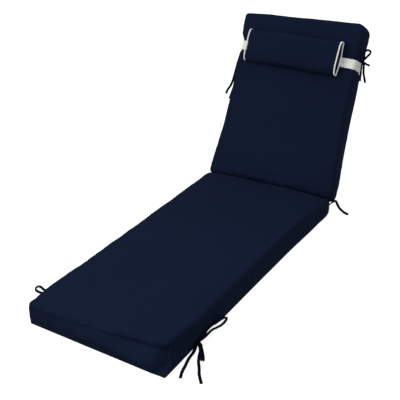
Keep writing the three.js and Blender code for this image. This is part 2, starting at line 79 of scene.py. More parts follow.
# Sections along the cushion in millimetres: at, half, swell, rim, centre, side, middle, under
COLUMNS = ("at", "half", "swell", "rim", "centre", "side", "middle", "under")
SEAT_SECTIONS = (
    (0, 275, -4, 0, 0, 88, 90, 0),
    (42, 275, -1, 3, 0, 88, 91, 0),
    (118, 274, 3, 4, 0, 88, 92, 0),
    (411, 271, 4, 4, 1, 88, 93, 0),
    (803, 273, 4, 4, 1, 88, 93, 0),
    (959, 277, 4, 4, 2, 85, 92, 0),
    (1048, 281, 4, 4, -1, 80, 90, 0),
    (1097, 285, 4, 4, -3, 76, 89, 0),
    (1118, 286, 3, 3, -4, 74, 87, 0),
    (1132, 286, 2, 2, -5, 71, 79, 2),
    (1147, 285, 1, 1, -5, 58, 58.5, 9),
    (1151, 277, 0, 0, -6, 50, 50.5, 24),
    (1155, 273, 0, 0, -6, 49, 49, 36),
)
BACK_SECTIONS = (
    (0, 273, 0, 0, -6, 49, 49, 36),
    (4, 279, 0, 0, -6, 50, 50.5, 24),
    (12, 285, 1, 1, -5, 59, 60.5, 9),
    (24, 288, 2, 2, -5, 71, 79, 2),
    (39, 287, 3, 3, -4, 75, 88, 0),
    (74, 285, 3, 3, -1, 80, 93, 0),
    (147, 277, 4, 4, 2, 85, 94, 0),
    (255, 270, 4, 4, 4, 87, 92, 0),
    (373, 266, 4, 4, 5, 88, 91, 0),
    (471, 267, 4, 4, 3, 87, 89, 0),
    (520, 267, 4, 4, 1, 85, 86, 0),
    (541, 266, 4, 4, 1, 83, 83, 2),
    (552, 260, 4, 4, 0, 81, 81, 4),
    (593, 259, 4, 4, 0, 81, 81, 4),
    (607, 263, 4, 4, -1, 84, 85, 2),
    (629, 269, 4, 4, -2, 88, 91, 0),
    (677, 272, 4, 4, -3, 89, 94, 0),
    (726, 272, 3, 3, -4, 87, 91, 0),
)
WAIST = dict(zip(COLUMNS, np.array(BACK_SECTIONS[12], float) * MM))

# The ties' routes in millimetres from the foot's seam. A tail is a free cord, and a loop lies on its knot.
TIE_WIDTH = 8.0
TIE_THICKNESS = 1.8
DRAWN_TAPE = (9.8, 4.6)  # width and thickness as folded and stitched, where a pair names no other
LAID = 0.6 + TIE_THICKNESS / 2
ON_EDGE = 0.8 + TIE_WIDTH / 2
KNOT_RADII = (6.5, 7.0, 6.5)
TIES = {
    "tie_foot_right": {
        "knot": (282.8, 177, 21),
        "loops": {
            "long": ((0.82, -0.41, 0.41), (
                (284, 203, 31), (285, 238, 36), (286, 272, 32), (287, 306, 24), (288, 326, 17.5),
                (290, 333, 13), (291, 327, 8.5), (291, 314, 6.5), (291, 296, 8), (290, 271, 15),
                (290, 242, 24), (288, 203, 22))),
            "folded": ((0.8, 0.6, 0), (
                (293, 172, 20), (299, 168, 12), (306, 162, 7), (314, 153, 5), (322, 143, 4.6),
                (329, 133, 4.6), (332, 127, 4.6), (327, 129, 4.6), (317, 141, 4.6), (306, 154, 6),
                (298, 163, 12))),
        },
        "tails": {
            "front": ((1, 0.2, 0), (
                (280.5, 168, 13.5), (282, 158, 6), (284, 146, 2.4), (285.5, 132, LAID), (287.5, 116, LAID),
                (295, 89, LAID), (304, 56, LAID), (314, 32, LAID))),
            "outer": ((0.83, 0.55, 0), (
                (293, 176, 13), (297, 170, 6), (300, 162, 2.6), (304, 151, LAID), (310, 138, LAID),
                (321, 119, LAID), (341, 92, LAID), (356, 70, LAID), (381, 43, LAID))),
        },
    },
    "tie_foot_left": {
        "knot": (-282.5, 170, 20),
        "loops": {
            "long": ((0.7, -0.7, 0.17), (
                (-304, 170, 11), (-338, 168, ON_EDGE), (-371, 169, ON_EDGE), (-391, 175, ON_EDGE),
                (-402, 176, ON_EDGE), (-406, 168, ON_EDGE), (-399, 157, ON_EDGE), (-384, 150, ON_EDGE),
                (-366, 150, ON_EDGE), (-335, 154, ON_EDGE), (-304, 163, 11))),
            "short": ((1, 0, 0), (
                (-284, 198, 30), (-284.5, 226, 31), (-284, 252, 25), (-285, 264, 17), (-289, 258, 11),
                (-290, 234, 15), (-288, 204, 22))),
        },
        "tails": {
            "front": ((1, 0.3, 0), (
                (-283, 160, 11), (-285, 152, 5), (-290, 140, LAID), (-298, 122, LAID), (-304, 100, LAID),
                (-305, 78, LAID), (-301, 58, LAID))),
            "rear": ((1, -0.3, 0), (
                (-292, 179, 10), (-298, 187, 3.5), (-305, 199, LAID), (-312, 219, LAID), (-317, 246, LAID),
                (-318, 277, LAID), (-313, 310, LAID), (-303, 338, LAID))),
        },
    },
    "tie_hinge_right": {
        "knot": (284, 1176, 43),
        "loops": {},
        "tails": {
            "front": ((0.3, 0.75, 0.6), (
                (293, 1178, 44), (298, 1179, 37), (301, 1180, 29), (304, 1181, 22), (309, 1181, 15),
                (317, 1179, 9), (327, 1175, 6), (336, 1170, 4.8), (345, 1166, 4.8), (353, 1164, 4.8))),
            "rear": ((0.2, 1, 0), (
                (278, 1171, 34), (271, 1168, 26), (263, 1166, 16), (255, 1165, 8), (245, 1165, 3),
                (233, 1166, LAID), (215, 1168, LAID), (197, 1168, LAID))),
        },
    },
    "tie_hinge_left": {
        "knot": (-294.4, 1176, 43),
        "loops": {},
        "tails": {
            "front": ((1, -0.2, 0), (
                (-300, 1167, 38), (-302, 1160, 27), (-304, 1151, 13), (-307, 1138, 3.5), (-311, 1120, LAID),
                (-313, 1098, LAID), (-311, 1076, LAID))),
            "rear": ((0.2, -1, 0), (
                (-295, 1186, 38), (-295, 1194, 28), (-294, 1200, 16), (-291, 1205, 6), (-281, 1209, LAID),
                (-263, 1211, LAID), (-241, 1213, LAID), (-219, 1214, LAID))),
        },
    },
    "tie_head_right": {
        "knot": (269, 1466, 541),
        "tape": (8.4, 4.4),
        "loops": {
            "small": ((0.2, 0.3, 0.9), (
                (274, 1466, 556), (277, 1466, 575), (282, 1466, 588), (290, 1466, 592), (299, 1466, 589),
                (302, 1466, 583), (297, 1466, 575), (286, 1466, 563), (279, 1466, 555))),
        },
        "stub": ((0.3, 0.5, 0.8), ((279, 1466, 537), (287, 1466, 532.5), (296, 1466, 530))),
        "tails": {
            "outer": ((0.7, 0.7, 0), (
                (274, 1469, 530), (274, 1469, 520), (274, 1468, 508), (275, 1467, 495), (278, 1467, 480),
                (281, 1467, 467), (284, 1467, 454))),
            "rear": ((0.7, 0.7, 0), (
                (269, 1457, 530.5), (268.5, 1456, 520), (268, 1455, 505), (268.5, 1452, 490),
                (269, 1448, 477), (270, 1444, 466))),
        },
    },
    "tie_head_left": {
        "knot": (-273, 1472, 546),
        "loops": {},
        "tails": {
            "front": ((1, 0, 0), (
                (-281, 1461, 541), (-286, 1449, 531), (-289, 1432, 510), (-291, 1414, 488), (-293, 1394, 452),
                (-297, 1364, 405), (-301, 1336, 386), (-305, 1327, 371))),
            "rear": ((1, 0, 0), (
                (-277, 1463, 533), (-278, 1448, 508), (-280, 1430, 478), (-283, 1408, 442), (-287, 1386, 410),
                (-290, 1363, 381), (-292, 1348, 360), (-293, 1336, 346))),
        },
    },
}
KNOTTED_TAILS = {("tie_hinge_right", "front"): 4.0}  # tails that end in a small knot of this radius
LONG_LOOPS = {("tie_foot_right", "long"), ("tie_foot_left", "long")}  # loops that are cords of their own


# Tables, curves and places

def read_table(rows):
    """The columns of a section table as arrays in metres."""
    return dict(zip(COLUMNS, np.array(rows, float).T * MM))


def through(places, values, at):
    """A smooth curve through the values, without overshoot, at the places asked for."""
    places, values, at = (np.asarray(a, float) for a in (places, values, at))
    slopes = np.diff(values) / np.diff(places)
    before, after = slopes[:-1], slopes[1:]
    same_way = before * after > 0
    inner = np.where(same_way, 2 * before * after / np.where(same_way, before + after, 1), 0)
    tangent = np.concatenate([slopes[:1], inner, slopes[-1:]])
    i = np.clip(np.searchsorted(places, at) - 1, 0, len(places) - 2)
    width = places[i + 1] - places[i]
    t = np.clip((at - places[i]) / width, 0, 1)
    start = values[i] * (1 + 2 * t) * (1 - t) ** 2 + tangent[i] * width * t * (1 - t) ** 2
    end = values[i + 1] * t * t * (3 - 2 * t) - tangent[i + 1] * width * t * t * (1 - t)
    return start + end


def smooth(value, low, high):
    """0 below low, 1 above high, with an eased rise between."""
    t = np.clip((value - low) / (high - low), 0, 1)
    return t * t * (3 - 2 * t)


def on_back(x, along, height):
    """From the back's own measures to points from the foot's seam."""
    rise = height - HINGE_HEIGHT
    c, s = math.cos(BACK_ANGLE), math.sin(BACK_ANGLE)
    return np.stack([x, SEAT_LENGTH + along * c - rise * s, HINGE_HEIGHT + along * s + rise * c], -1)


def skewed(x, along):
    """Where the cloth at x lies along the back, askew at the strap and a little at the head."""
    near = smooth(1 - np.abs(along - STRAP_ALONG) / STRAP_REACH, 0, 1)
    strap = (STRAP_SKEW - HEAD_SKEW) * near
    return along - x * (strap + HEAD_SKEW * smooth(along, 0, STRAP_ALONG))


def unevenness(seed, scale, count=7):
    """A slow, seeded wander over a surface: a function of two measures, between about -1 and 1."""
    rng = np.random.default_rng(seed)
    ways = rng.uniform(0, math.pi, count)
    rates = rng.uniform(0.5, 1.6, count) * 2 * math.pi / scale
    phases = rng.uniform(0, 2 * math.pi, count)

    def wander(a, b):
        total = 0
        for way, rate, phase in zip(ways, rates, phases):
            total = total + np.sin((a * math.cos(way) + b * math.sin(way)) * rate + phase)
        return total / math.sqrt(count)
    return wander


# Meshes

def new_piece(name, points, faces, material, uvs, fields=None):
    """A mesh piece with its material, its cloth measure as UVs and its named point fields."""
    mesh = bpy.data.meshes.new(name)
    mesh.from_pydata([tuple(p) for p in np.asarray(points) + ORIGIN], [], faces)
    mesh.update()
    layer = mesh.uv_layers.new(name="cloth")
    layer.data.foreach_set("uv", np.asarray(uvs, np.float32).ravel())
    for key, values in (fields or {}).items():
        field = mesh.attributes.new(key, "FLOAT", "POINT")
        field.data.foreach_set("value", np.asarray(values, np.float32))
    mesh.polygons.foreach_set("use_smooth", [True] * len(mesh.polygons))
    piece = bpy.data.objects.new(name, mesh)
    bpy.context.scene.collection.objects.link(piece)
    piece.data.materials.append(material)
    return piece


def read_vectors(piece, key):
    """The places ("co") or the normals ("normal") of the piece's points."""
    values = np.zeros(len(piece.data.vertices) * 3, np.float32)
    piece.data.vertices.foreach_get(key, values)
    return values.reshape(-1, 3).astype(float)


def write_points(piece, points):
    """Moves the piece's points to these places."""
    piece.data.vertices.foreach_set("co", np.asarray(points, np.float32).ravel())
    piece.data.update()


def read_field(piece, name):
    """One of the piece's named point fields."""
    values = np.zeros(len(piece.data.vertices), np.float32)
    piece.data.attributes[name].data.foreach_get("value", values)
    return values.astype(float)


def apply_modifiers(piece):
    """The piece's mesh becomes what its modifiers make of it."""
    bpy.context.view_layer.update()
    graph = bpy.context.evaluated_depsgraph_get()
    shown = piece.evaluated_get(graph)
    made = bpy.data.meshes.new_from_object(shown, preserve_all_data_layers=True, depsgraph=graph)
    piece.modifiers.clear()
    old = piece.data
    piece.data = made
    bpy.data.meshes.remove(old)


def subdivide(piece):
    """One level of smooth subdivision."""
    modifier = piece.modifiers.new("finer", "SUBSURF")
    modifier.levels = 1
    modifier.render_levels = 1
    modifier.subdivision_type = "CATMULL_CLARK"
    apply_modifiers(piece)


def face_outward(piece, inside):
    """Turns a closed piece's faces round where its first one looks towards a point inside it."""
    first = piece.data.polygons[0]
    if first.normal.dot(first.center - Vector(inside + ORIGIN)) < 0:
        piece.data.flip_normals()


CLOTH_STIFFNESS = 12.0
CLOTH_BENDING = 0.4
CLOTH_DAMPING = 8
CLOTH_MASS = 0.3
CLOTH_QUALITY = 6  # steps of the simulation for each frame
FILLING_FRAMES = 20


def puff(piece, hold, pressure, slack, most):
    """Fills the piece out with a cloth simulation; hold is how firmly each point keeps its place."""
    rest = read_vectors(piece, "co")
    group = piece.vertex_groups.new(name="hold")
    for share in np.unique(np.round(hold, 2)):
        members = np.nonzero(np.abs(np.round(hold, 2) - share) < 1e-6)[0]
        group.add([int(i) for i in members], float(share), "REPLACE")
    cloth = piece.modifiers.new("filling", "CLOTH")
    settings = cloth.settings
    settings.quality = CLOTH_QUALITY
    settings.mass = CLOTH_MASS
    settings.tension_stiffness = CLOTH_STIFFNESS
    settings.compression_stiffness = CLOTH_STIFFNESS
    settings.shear_stiffness = CLOTH_STIFFNESS / 2
    settings.bending_stiffness = CLOTH_BENDING
    settings.tension_damping = CLOTH_DAMPING
    settings.compression_damping = CLOTH_DAMPING
    settings.use_pressure = True
    settings.uniform_pressure_force = pressure
    settings.shrink_min = -slack
    settings.vertex_group_mass = "hold"
    settings.pin_stiffness = 1.0
    settings.effector_weights.gravity = 0
    scene = bpy.context.scene
    scene.frame_start, scene.frame_end = 1, FILLING_FRAMES
    cloth.point_cache.frame_start, cloth.point_cache.frame_end = 1, FILLING_FRAMES
    for step in range(1, FILLING_FRAMES + 1):
        scene.frame_set(step)
    apply_modifiers(piece)
    moved = read_vectors(piece, "co") - rest
    length = np.linalg.norm(moved, axis=1)[:, None]
    moved *= most / np.maximum(length + most, 1e-9)
    write_points(piece, rest + moved * (1 - np.asarray(hold))[:, None] ** 0.5)
    scene.frame_set(1)
    piece.vertex_groups.clear()


# The cushion

BOTTOM_SHARES = (0, 0.13, 0.27, 0.4, 0.52, 0.64, 0.74, 0.82, 0.88, 0.925, 0.96, 0.985, 1.0)
TOP_SHARES = (0.985, 0.95, 0.9, 0.83, 0.74, 0.62, 0.48, 0.32, 0.16, 0)
SIDE_SHARES = (0, 0.05, 0.13, 0.23, 0.34, 0.46, 0.58, 0.7, 0.81, 0.91)
ROLL_TURNS_SIDE = (0, 15, 30)
ROLL_TURNS_TOP = (62, 76, 90)
SEAM_TURN = 45
PANEL_HEIGHT = 0.087
PANEL_BULGE = 0.004
ALONG_STEP = 0.0115  # between the cushion's sections, away from its seams
FULL_SHARE = 0.6  # from here up, the side panel runs from its own swell to the rim's


def half_outline(row, width, high, low):
    """One half of a section, from the middle of the underside to the middle of the top."""
    roll = min(TOP_ROLL, (high - low) * 0.38)
    seam = min(SEAM_ROLL, (high - low) / 4)
    edge = width + row["rim"]
    points = [((width - seam) * share, low) for share in BOTTOM_SHARES]
    points.append((width - seam * 0.3, low + seam * 0.3))
    foot_of_side, head_of_side = low + seam, high - roll
    for share in SIDE_SHARES:
        height = foot_of_side + (head_of_side - foot_of_side) * share
        if share < FULL_SHARE:
            out = row["swell"] * smooth(share, -0.02, 0.4)
        else:
            out = row["swell"] + (row["rim"] - row["swell"]) * smooth(share, FULL_SHARE, 1.0)
        points.append((width + float(out), height))
    for turn in (*ROLL_TURNS_SIDE, SEAM_TURN, *ROLL_TURNS_TOP):
        a = math.radians(turn)
        points.append((edge - roll * (1 - math.cos(a)), high - roll * (1 - math.sin(a))))
    for share in TOP_SHARES:
        points.append(((edge - roll) * share, high + (row["middle"] - row["side"]) * (1 - share ** 4)))
    return points


LOW_SEAM = len(BOTTOM_SHARES)  # column of the lower seam in a half outline
HIGH_SEAM = LOW_SEAM + len(SIDE_SHARES) + len(ROLL_TURNS_SIDE) + 1  # and of the upper one
HALF_COUNT = HIGH_SEAM + 1 + len(ROLL_TURNS_TOP) + len(TOP_SHARES)
RING = 2 * HALF_COUNT - 2


def outline(row, trim):
    """A whole section anticlockwise from the middle of the underside, seen from the foot: x and height."""
    low, high = row["under"] + trim["under"], row["side"] - trim["top"]
    right = half_outline(row, row["half"] - trim["right"], high, low)
    left = [(-x, height) for x, height in half_outline(row, row["half"] - trim["left"], high, low)]
    ring = np.array(right + left[-2:0:-1])
    ring[:, 0] += row["centre"]
    return ring


UNTRIMMED = {"top": 0, "under": 0, "left": 0, "right": 0}


def rolled_off(roll, inside):
    """How much each rolled edge takes off a section at a distance inside an end."""
    return {edge: r - math.sqrt(r * r - (r - inside) ** 2) if inside < r else 0 for edge, r in roll.items()}


def section(rows, at):
    """The measures of a section between the rows of a table."""
    table = read_table(rows)
    return {key: float(through(table["at"], table[key], at)) for key in COLUMNS}


def places_along(start, end, step, marks):
    """Places from start to end about a step apart, closer near each (place, reach, step) mark."""
    found = [start]
    while found[-1] < end:
        here = found[-1]
        local = step
        for at, reach, finer in marks:
            away = min(1, max(0, abs(here - at) - reach) / 0.05)
            local = min(local, finer + (step - finer) * away)
        found.append(here + local)
    scale = (end - start) / (found[-1] - start)
    return [start + (at - start) * scale for at in found]


def foot_bulge(_, share):
    """How far the foot panel stands out past its seam, most a little below its middle."""
    return PANEL_BULGE * smooth(share, -0.05, 0.35) * (1 - smooth(share, 0.4, 0.82))


# How the foot's cloth is drawn in, in metres from the foot's seam
EDGE_HEIGHT = 0.088  # the foot's top edge
CORNER_X = 0.275  # the right corner
FOOT_LEAN = (  # how far back the top edge lies, by the place across
    (-0.28, 0.008), (-0.20, 0.009), (-0.10, 0.016), (0.0, 0.030), (0.09, 0.037), (0.20, 0.043), (0.28, 0.046))
SLANT_PROFILE = (  # the share of that lean by height, where the cloth is unfolded at the left
    (0, 0), (0.028, 0), (0.045, 0.14), (0.07, 0.62), (0.088, 1.0))
FOLD_PROFILE = (  # and where it is folded
    (0, 0), (0.016, 0.02), (0.030, 0.13), (0.043, 0.37), (0.056, 0.68), (0.065, 0.90), (0.072, 0.99),
    (0.088, 1.0))
FOLD_DROP = 0.010  # how much lower the fold lies towards the left
CORNER_LEAN = 0.060  # how far back the right corner's upright seam runs, from the floor to the top
LOWER_EDGE_PULL = 0.006
CORNER_PULL = 0.009
VALLEY_DEPTH, VALLEY_WIDTH = 0.011, 0.014  # the hollow along the right corner's seam
RIGHT_TAPER, RIGHT_TAPER_AT_FOOT, LEFT_TAPER = 0.006, 0.012, 0.010  # how the sides lean in towards the top
TIED_AT, TIED_REACH = 0.268, 0.028  # where the right tie draws the lower edge in
TIED_PULL = np.array([-0.007, 0, 0.006])
TIP, TIP_REACH = np.array([-0.268, 0.004, 0.084]), 0.012  # the left corner's top
TIP_PUSH, TIP_OUT = np.array([-0.35, -0.3, 0.6]), 0.006  # which way it is pushed out, and how far


def draw_in_foot(points):
    """Leans the foot's cloth back, folds it above its lower bulge and draws its corners in."""
    x, y, z = (points - ORIGIN).T
    moved = points.copy()
    lean = through(*np.array(FOOT_LEAN).T, x)
    folded = smooth(x, 0.02, 0.16)
    rise = FOLD_DROP * (1 - smooth(x, 0.02, 0.24))
    slant = through(*np.array(SLANT_PROFILE).T, z)
    fold = through(*np.array(FOLD_PROFILE).T, z + rise)
    back = lean * ((1 - folded) * slant + folded * fold)
    near = 1 - smooth(y, 0.004, 0.030)
    inside = CORNER_X - x
    corner_back = CORNER_LEAN * np.clip(z / EDGE_HEIGHT, 0, 1) ** 0.65
    chamfer = np.maximum(0, corner_back - back) * (1 - smooth(inside, 0.004, 0.052))
    drawn = smooth(z, 0.0, 0.022) * (1 - 0.85 * smooth(z, 0.060, 0.086))
    valley = VALLEY_DEPTH * np.exp(-(inside / VALLEY_WIDTH) ** 2) * drawn
    moved[:, 1] += (back + chamfer) * (1 - smooth(y, 0.0, 0.12))
    moved[:, 1] += (LOWER_EDGE_PULL * (1 - smooth(z, 0.0, 0.045)) + valley) * near
    moved[:, 0] -= CORNER_PULL * (1 - smooth(y, 0.0, 0.030)) * smooth(x, 0.23, 0.27) * drawn
    upright = smooth(z, 0.005, 0.085)
    right_taper = RIGHT_TAPER + RIGHT_TAPER_AT_FOOT * (1 - smooth(y, 0.02, 0.22))
    right_taper = right_taper * smooth(x, 0.18, 0.27) * (1 - smooth(y, 0.9, 1.1))
    left_taper = LEFT_TAPER * (1 - smooth(y, 0.0, 0.09)) * smooth(-x, 0.18, 0.27)
    moved[:, 0] += upright * (left_taper - right_taper)
    tied = np.exp(-((y - TIED_AT) / TIED_REACH) ** 2) * smooth(x, 0.20, 0.27) * (1 - smooth(z, 0.0, 0.055))
    moved += tied[:, None] * TIED_PULL
    near_tip = np.exp(-((points - ORIGIN - TIP) ** 2).sum(1) / (2 * TIP_REACH ** 2))
    moved += TIP_OUT * near_tip[:, None] * TIP_PUSH
    return moved


def head_bulge(x, share):
    """How far the head panel stands out past its seam."""
    return PANEL_BULGE * np.sin(np.pi * np.clip(share, 0, 1)) * (1 - (x / 0.28) ** 4)


def rim_columns():
    """The columns round an end's outline: its bottom, right, top and left."""
    bottom = [i % RING for i in range(-LOW_SEAM, LOW_SEAM + 1)]
    right = list(range(LOW_SEAM, HIGH_SEAM + 1))
    top = list(range(RING - HIGH_SEAM, HIGH_SEAM - 1, -1))
    left = [i % RING for i in range(RING - LOW_SEAM, RING - HIGH_SEAM - 1, -1)]
    return bottom, right, top, left


def end_panel(ring, end, way, bulge):
    """A grid of points inside an end's outline, and how far along the cushion each one lies."""
    bottom, right, top, left = (ring[columns] for columns in rim_columns())
    u = ((bottom[:, 0] - bottom[0, 0]) / (bottom[-1, 0] - bottom[0, 0]))[:, None, None]
    v = ((right[:, 1] - right[0, 1]) / (right[-1, 1] - right[0, 1]))[None, :, None]
    grid = (1 - v) * bottom[:, None] + v * top[:, None] + (1 - u) * left[None] + u * right[None]
    grid -= (1 - u) * (1 - v) * bottom[0] + u * (1 - v) * bottom[-1] + (1 - u) * v * top[0] + u * v * top[-1]
    upper = 1 if way < 0 else 1 - v
    edge = np.clip(8 * u * (1 - u), 0, 1)[..., 0] ** 0.5 * np.clip(10 * v * upper, 0, 1)[..., 0] ** 0.5
    return grid, end + way * bulge(grid[..., 0], grid[..., 1] / PANEL_HEIGHT) * edge


def cushion_shape():
    """Points, faces, cloth measures and fields of the cushion, from its sections."""
    seat_marks = ((0, 0.03, 0.004), (SEAT_LENGTH, 0.03, 0.0035))
    back_marks = ((0, 0.03, 0.0035), (0.545, 0.01, 0.005), (0.600, 0.01, 0.005), (BACK_LENGTH, 0.03, 0.005))
    foot_insides = (0, 0.0004, 0.0015, 0.003, 0.005, 0.0075, 0.0105, 0.014)
    head_insides = (0, 0.0006, 0.002, 0.0045, 0.008, 0.012, 0.017, 0.0225, 0.0285)
    rings, places = [], []

    def add(rows, at, inside=None, roll=None, back=False):
        trim = rolled_off(roll, inside) if roll else UNTRIMMED
        ring = outline(section(rows, at), trim)
        x, height = ring[:, 0], ring[:, 1]
        along = np.full(len(x), at)
        rings.append(on_back(x, skewed(x, along), height) if back else np.stack([x, along, height], -1))
        places.append((ring, at + (SEAT_LENGTH if back else 0)))

    for inside in foot_insides:
        add(SEAT_SECTIONS, inside, inside, FOOT_ROLL)
    for at in places_along(foot_insides[-1] + 0.004, SEAT_LENGTH - 0.003, ALONG_STEP, seat_marks):
        add(SEAT_SECTIONS, at)
    hinge = outline(section(SEAT_SECTIONS, SEAT_LENGTH), UNTRIMMED)
    rise, turn = hinge[:, 1] - HINGE_HEIGHT, BACK_ANGLE / 2
    middle = [hinge[:, 0], SEAT_LENGTH - rise * math.sin(turn), HINGE_HEIGHT + rise * math.cos(turn)]
    rings.append(np.stack(middle, -1))
    places.append((hinge, SEAT_LENGTH))
    for at in places_along(0.003, BACK_LENGTH - 0.036, ALONG_STEP, back_marks):
        add(BACK_SECTIONS, at, back=True)
    for inside in reversed(head_insides):
        add(BACK_SECTIONS, BACK_LENGTH - inside, inside, HEAD_ROLL, back=True)

    points = list(np.concatenate(rings))
    count = len(rings)
    along = np.repeat([at for _, at in places], RING)
    flat = np.concatenate([ring for ring, _ in places])
    faces, uvs = [], []
    sides = [LOW_SEAM <= i < HIGH_SEAM or RING - HIGH_SEAM <= i < RING - LOW_SEAM for i in range(RING)]
    for r in range(count - 1):
        for i in range(RING):
            j = (i + 1) % RING
            corners = (r * RING + i, r * RING + j, (r + 1) * RING + j, (r + 1) * RING + i)
            faces.append(corners)
            measure = 1 if sides[i] else 0
            uvs.extend((flat[c, measure], along[c]) for c in corners)

    def close(ring_index, end, way, bulge, to_space):
        grid, out = end_panel(places[ring_index][0], end, way, bulge)
        across, up = out.shape
        bottom, right, top, left = ([ring_index * RING + i for i in columns] for columns in rim_columns())
        number = {}
        for a in range(across):
            number[a, 0], number[a, up - 1] = bottom[a], top[a]
        for b in range(up):
            number[0, b], number[across - 1, b] = left[b], right[b]
        for a in range(1, across - 1):
            for b in range(1, up - 1):
                number[a, b] = len(points)
                points.append(to_space(grid[a, b, 0], out[a, b], grid[a, b, 1]))
        for a in range(across - 1):
            for b in range(up - 1):
                corners = [(a, b), (a + 1, b), (a + 1, b + 1), (a, b + 1)][::-way]
                faces.append(tuple(number[c] for c in corners))
                uvs.extend((grid[c][0], grid[c][1]) for c in corners)

    close(0, 0.0, -1, foot_bulge, lambda x, at, height: np.array([x, at, height]))
    close(count - 1, BACK_LENGTH, 1, head_bulge, lambda x, at, height: on_back(x, skewed(x, at), height))
    return np.array(points), faces, uvs, count, flat, along


HINGE_REACH = 0.012  # how far from the hinge seam its gathers go
STRAP_HALF = 0.019
WAIST_REACH = 0.02  # how far from the strap's edges its gathers go


def cushion_fields(total, count, flat, along):
    """Where the seams, the long edges and the underside are, as point fields."""
    column = np.tile(np.arange(RING), count)
    seam = np.isin(column, (LOW_SEAM, HIGH_SEAM, RING - LOW_SEAM, RING - HIGH_SEAM)).astype(float)
    across_top = (column > HIGH_SEAM) & (column < RING - HIGH_SEAM)
    at_end = np.repeat([1.0] + [0.0] * (count - 2) + [1.0], RING)
    seam = np.maximum(seam, at_end * np.where(across_top & (along < 0.5), 0.0, 1.0))
    held = np.maximum(seam, at_end)
    under = (column <= LOW_SEAM) | (column >= RING - LOW_SEAM)
    hinge = np.exp(-((along - SEAT_LENGTH) / HINGE_REACH) ** 2)
    beyond = np.maximum(0, np.abs(along - SEAT_LENGTH - STRAP_ALONG) - STRAP_HALF)
    waist = np.exp(-(beyond / WAIST_REACH) ** 2)
    fields = {
        "seam": seam,
        "held": held,
        "under": under.astype(float),
        "hinge": hinge,
        "waist": waist,
        "along": along,
        "across": flat[:, 0],
        "height": flat[:, 1],
    }
    spare = total - len(column)
    return {key: np.concatenate([values, np.zeros(spare)]) for key, values in fields.items()}


def make_cushion(material):
    """The cushion's cover: built from its sections, filled and then sewn in."""
    points, faces, uvs, count, flat, along = cushion_shape()
    fields = cushion_fields(len(points), count, flat, along)
    piece = new_piece("cushion_cover", points, faces, material, uvs, fields)
    hold = np.clip(0.25 + fields["held"] + fields["under"] + fields["hinge"] + fields["waist"], 0, 1)
    puff(piece, hold, pressure=2.0, slack=0.01, most=0.004)
    subdivide(piece)
    finish_cushion(piece)
    return piece


SEAM_DEPTH = 0.0012
CLOTH_WANDER = ((3, 0.22, 0.0011), (8, 0.07, 0.00035))  # seed, length and depth, slow and quick
PUCKER_DEPTH = 0.0004
GATHER_LENGTH = 0.034  # from one gather to the next, at the waist and the hinge
WAIST_GATHER = 0.0011
HINGE_GATHER = 0.0012


def finish_cushion(piece):
    """Sews the seams in and lets the cloth wander, after the filling."""
    points, normals = read_vectors(piece, "co"), read_vectors(piece, "normal")
    seam, under = read_field(piece, "seam"), read_field(piece, "under")
    along, across = read_field(piece, "along"), read_field(piece, "across")
    waist, hinge = read_field(piece, "waist"), read_field(piece, "hinge")
    groove = SEAM_DEPTH * np.clip(seam, 0, 1) ** 1.5
    slow, quick = (unevenness(seed, length)(across, along) * depth for seed, length, depth in CLOTH_WANDER)
    near_edge = smooth(np.abs(across), 0.20, 0.27)
    puckers = unevenness(5, 0.035)(across * 0.25, along) * near_edge * PUCKER_DEPTH
    gathers = np.sin(across * 2 * math.pi / GATHER_LENGTH + 1.7 * np.sin(across * 23))
    gathers = gathers * (WAIST_GATHER * waist + HINGE_GATHER * np.clip(hinge * 1.5, 0, 1) * (1 - hinge))
    free = np.clip(1 - under, 0, 1)
    points += normals * ((slow + quick + puckers + gathers) * free - groove)[:, None]
    points = draw_in_foot(points)
    points[:, 2] = np.maximum(points[:, 2], 0.0)
    write_points(piece, points)


# The head pillow and its piping

def pillow_place(x, v, w, size, clear=0.0):
    """A point of the pillow: x from its middle, v up its height and w off the cushion's face."""
    up = v * math.cos(size.roll) - w * math.sin(size.roll)
    off = v * math.sin(size.roll) + w * math.cos(size.roll)
    across = size.centre + x * math.cos(size.turn) + up * math.sin(size.turn)
    along = size.along + up * math.cos(size.turn) - x * math.sin(size.turn)
    over_strap = smooth(np.abs(x), size.length / 2 - 0.034, size.length / 2 - 0.024)
    table = read_table(BACK_SECTIONS)
    face = through(table["at"], table["middle"], np.clip(along + across * STRAP_SKEW, 0, BACK_LENGTH))
    lowest = face + clear + 2 * GAP + over_strap * (STRAP_THICKNESS + STRAP_LIFT)
    height = WAIST["middle"] + size.lift + x * math.tan(size.slant) + off
    return on_back(across, along, np.maximum(lowest, height))


# How blunt and how soft the pillow's long edges are
FRONT_TOP, FRONT_BOTTOM = (6.0, 0.26), (2.8, 0.42)
REAR_TOP, REAR_BOTTOM = (3.5, 0.32), (8.0, 0.2)


def slab(size, steps, inset=0.0, fuller=1.0):
    """The pillow's section as v and w, a flat slab with round edges, from its top edge round the front."""
    turn = np.arange(steps) / steps * 2 * math.pi
    turn = turn - 0.16 * np.sin(2 * turn)
    front = np.sin(turn) >= 0
    depth = np.where(front, size.front * fuller, size.rear) - inset
    v = (size.height / 2 - inset) * np.cos(turn)
    upper = np.cos(turn) > 0
    blunt, soft = (
        np.where(front, np.where(upper, a, b), np.where(upper, c, d))
        for a, b, c, d in zip(FRONT_TOP, FRONT_BOTTOM, REAR_TOP, REAR_BOTTOM))
    w = np.sign(np.sin(turn)) * depth * (1 - np.abs(np.cos(turn)) ** blunt) ** soft
    return v, w


PILLOW_STEPS = 56  # points round the pillow
PILLOW_PUCKER = 0.0007
PILLOW_WANDER = (21, 0.13, 0.0010)  # seed, length and depth
PANEL_SCALES = (0.93, 0.82, 0.66, 0.46, 0.24, 0.0)  # the rings of an end panel, from its seam to its middle
PANEL_DOME = 0.003


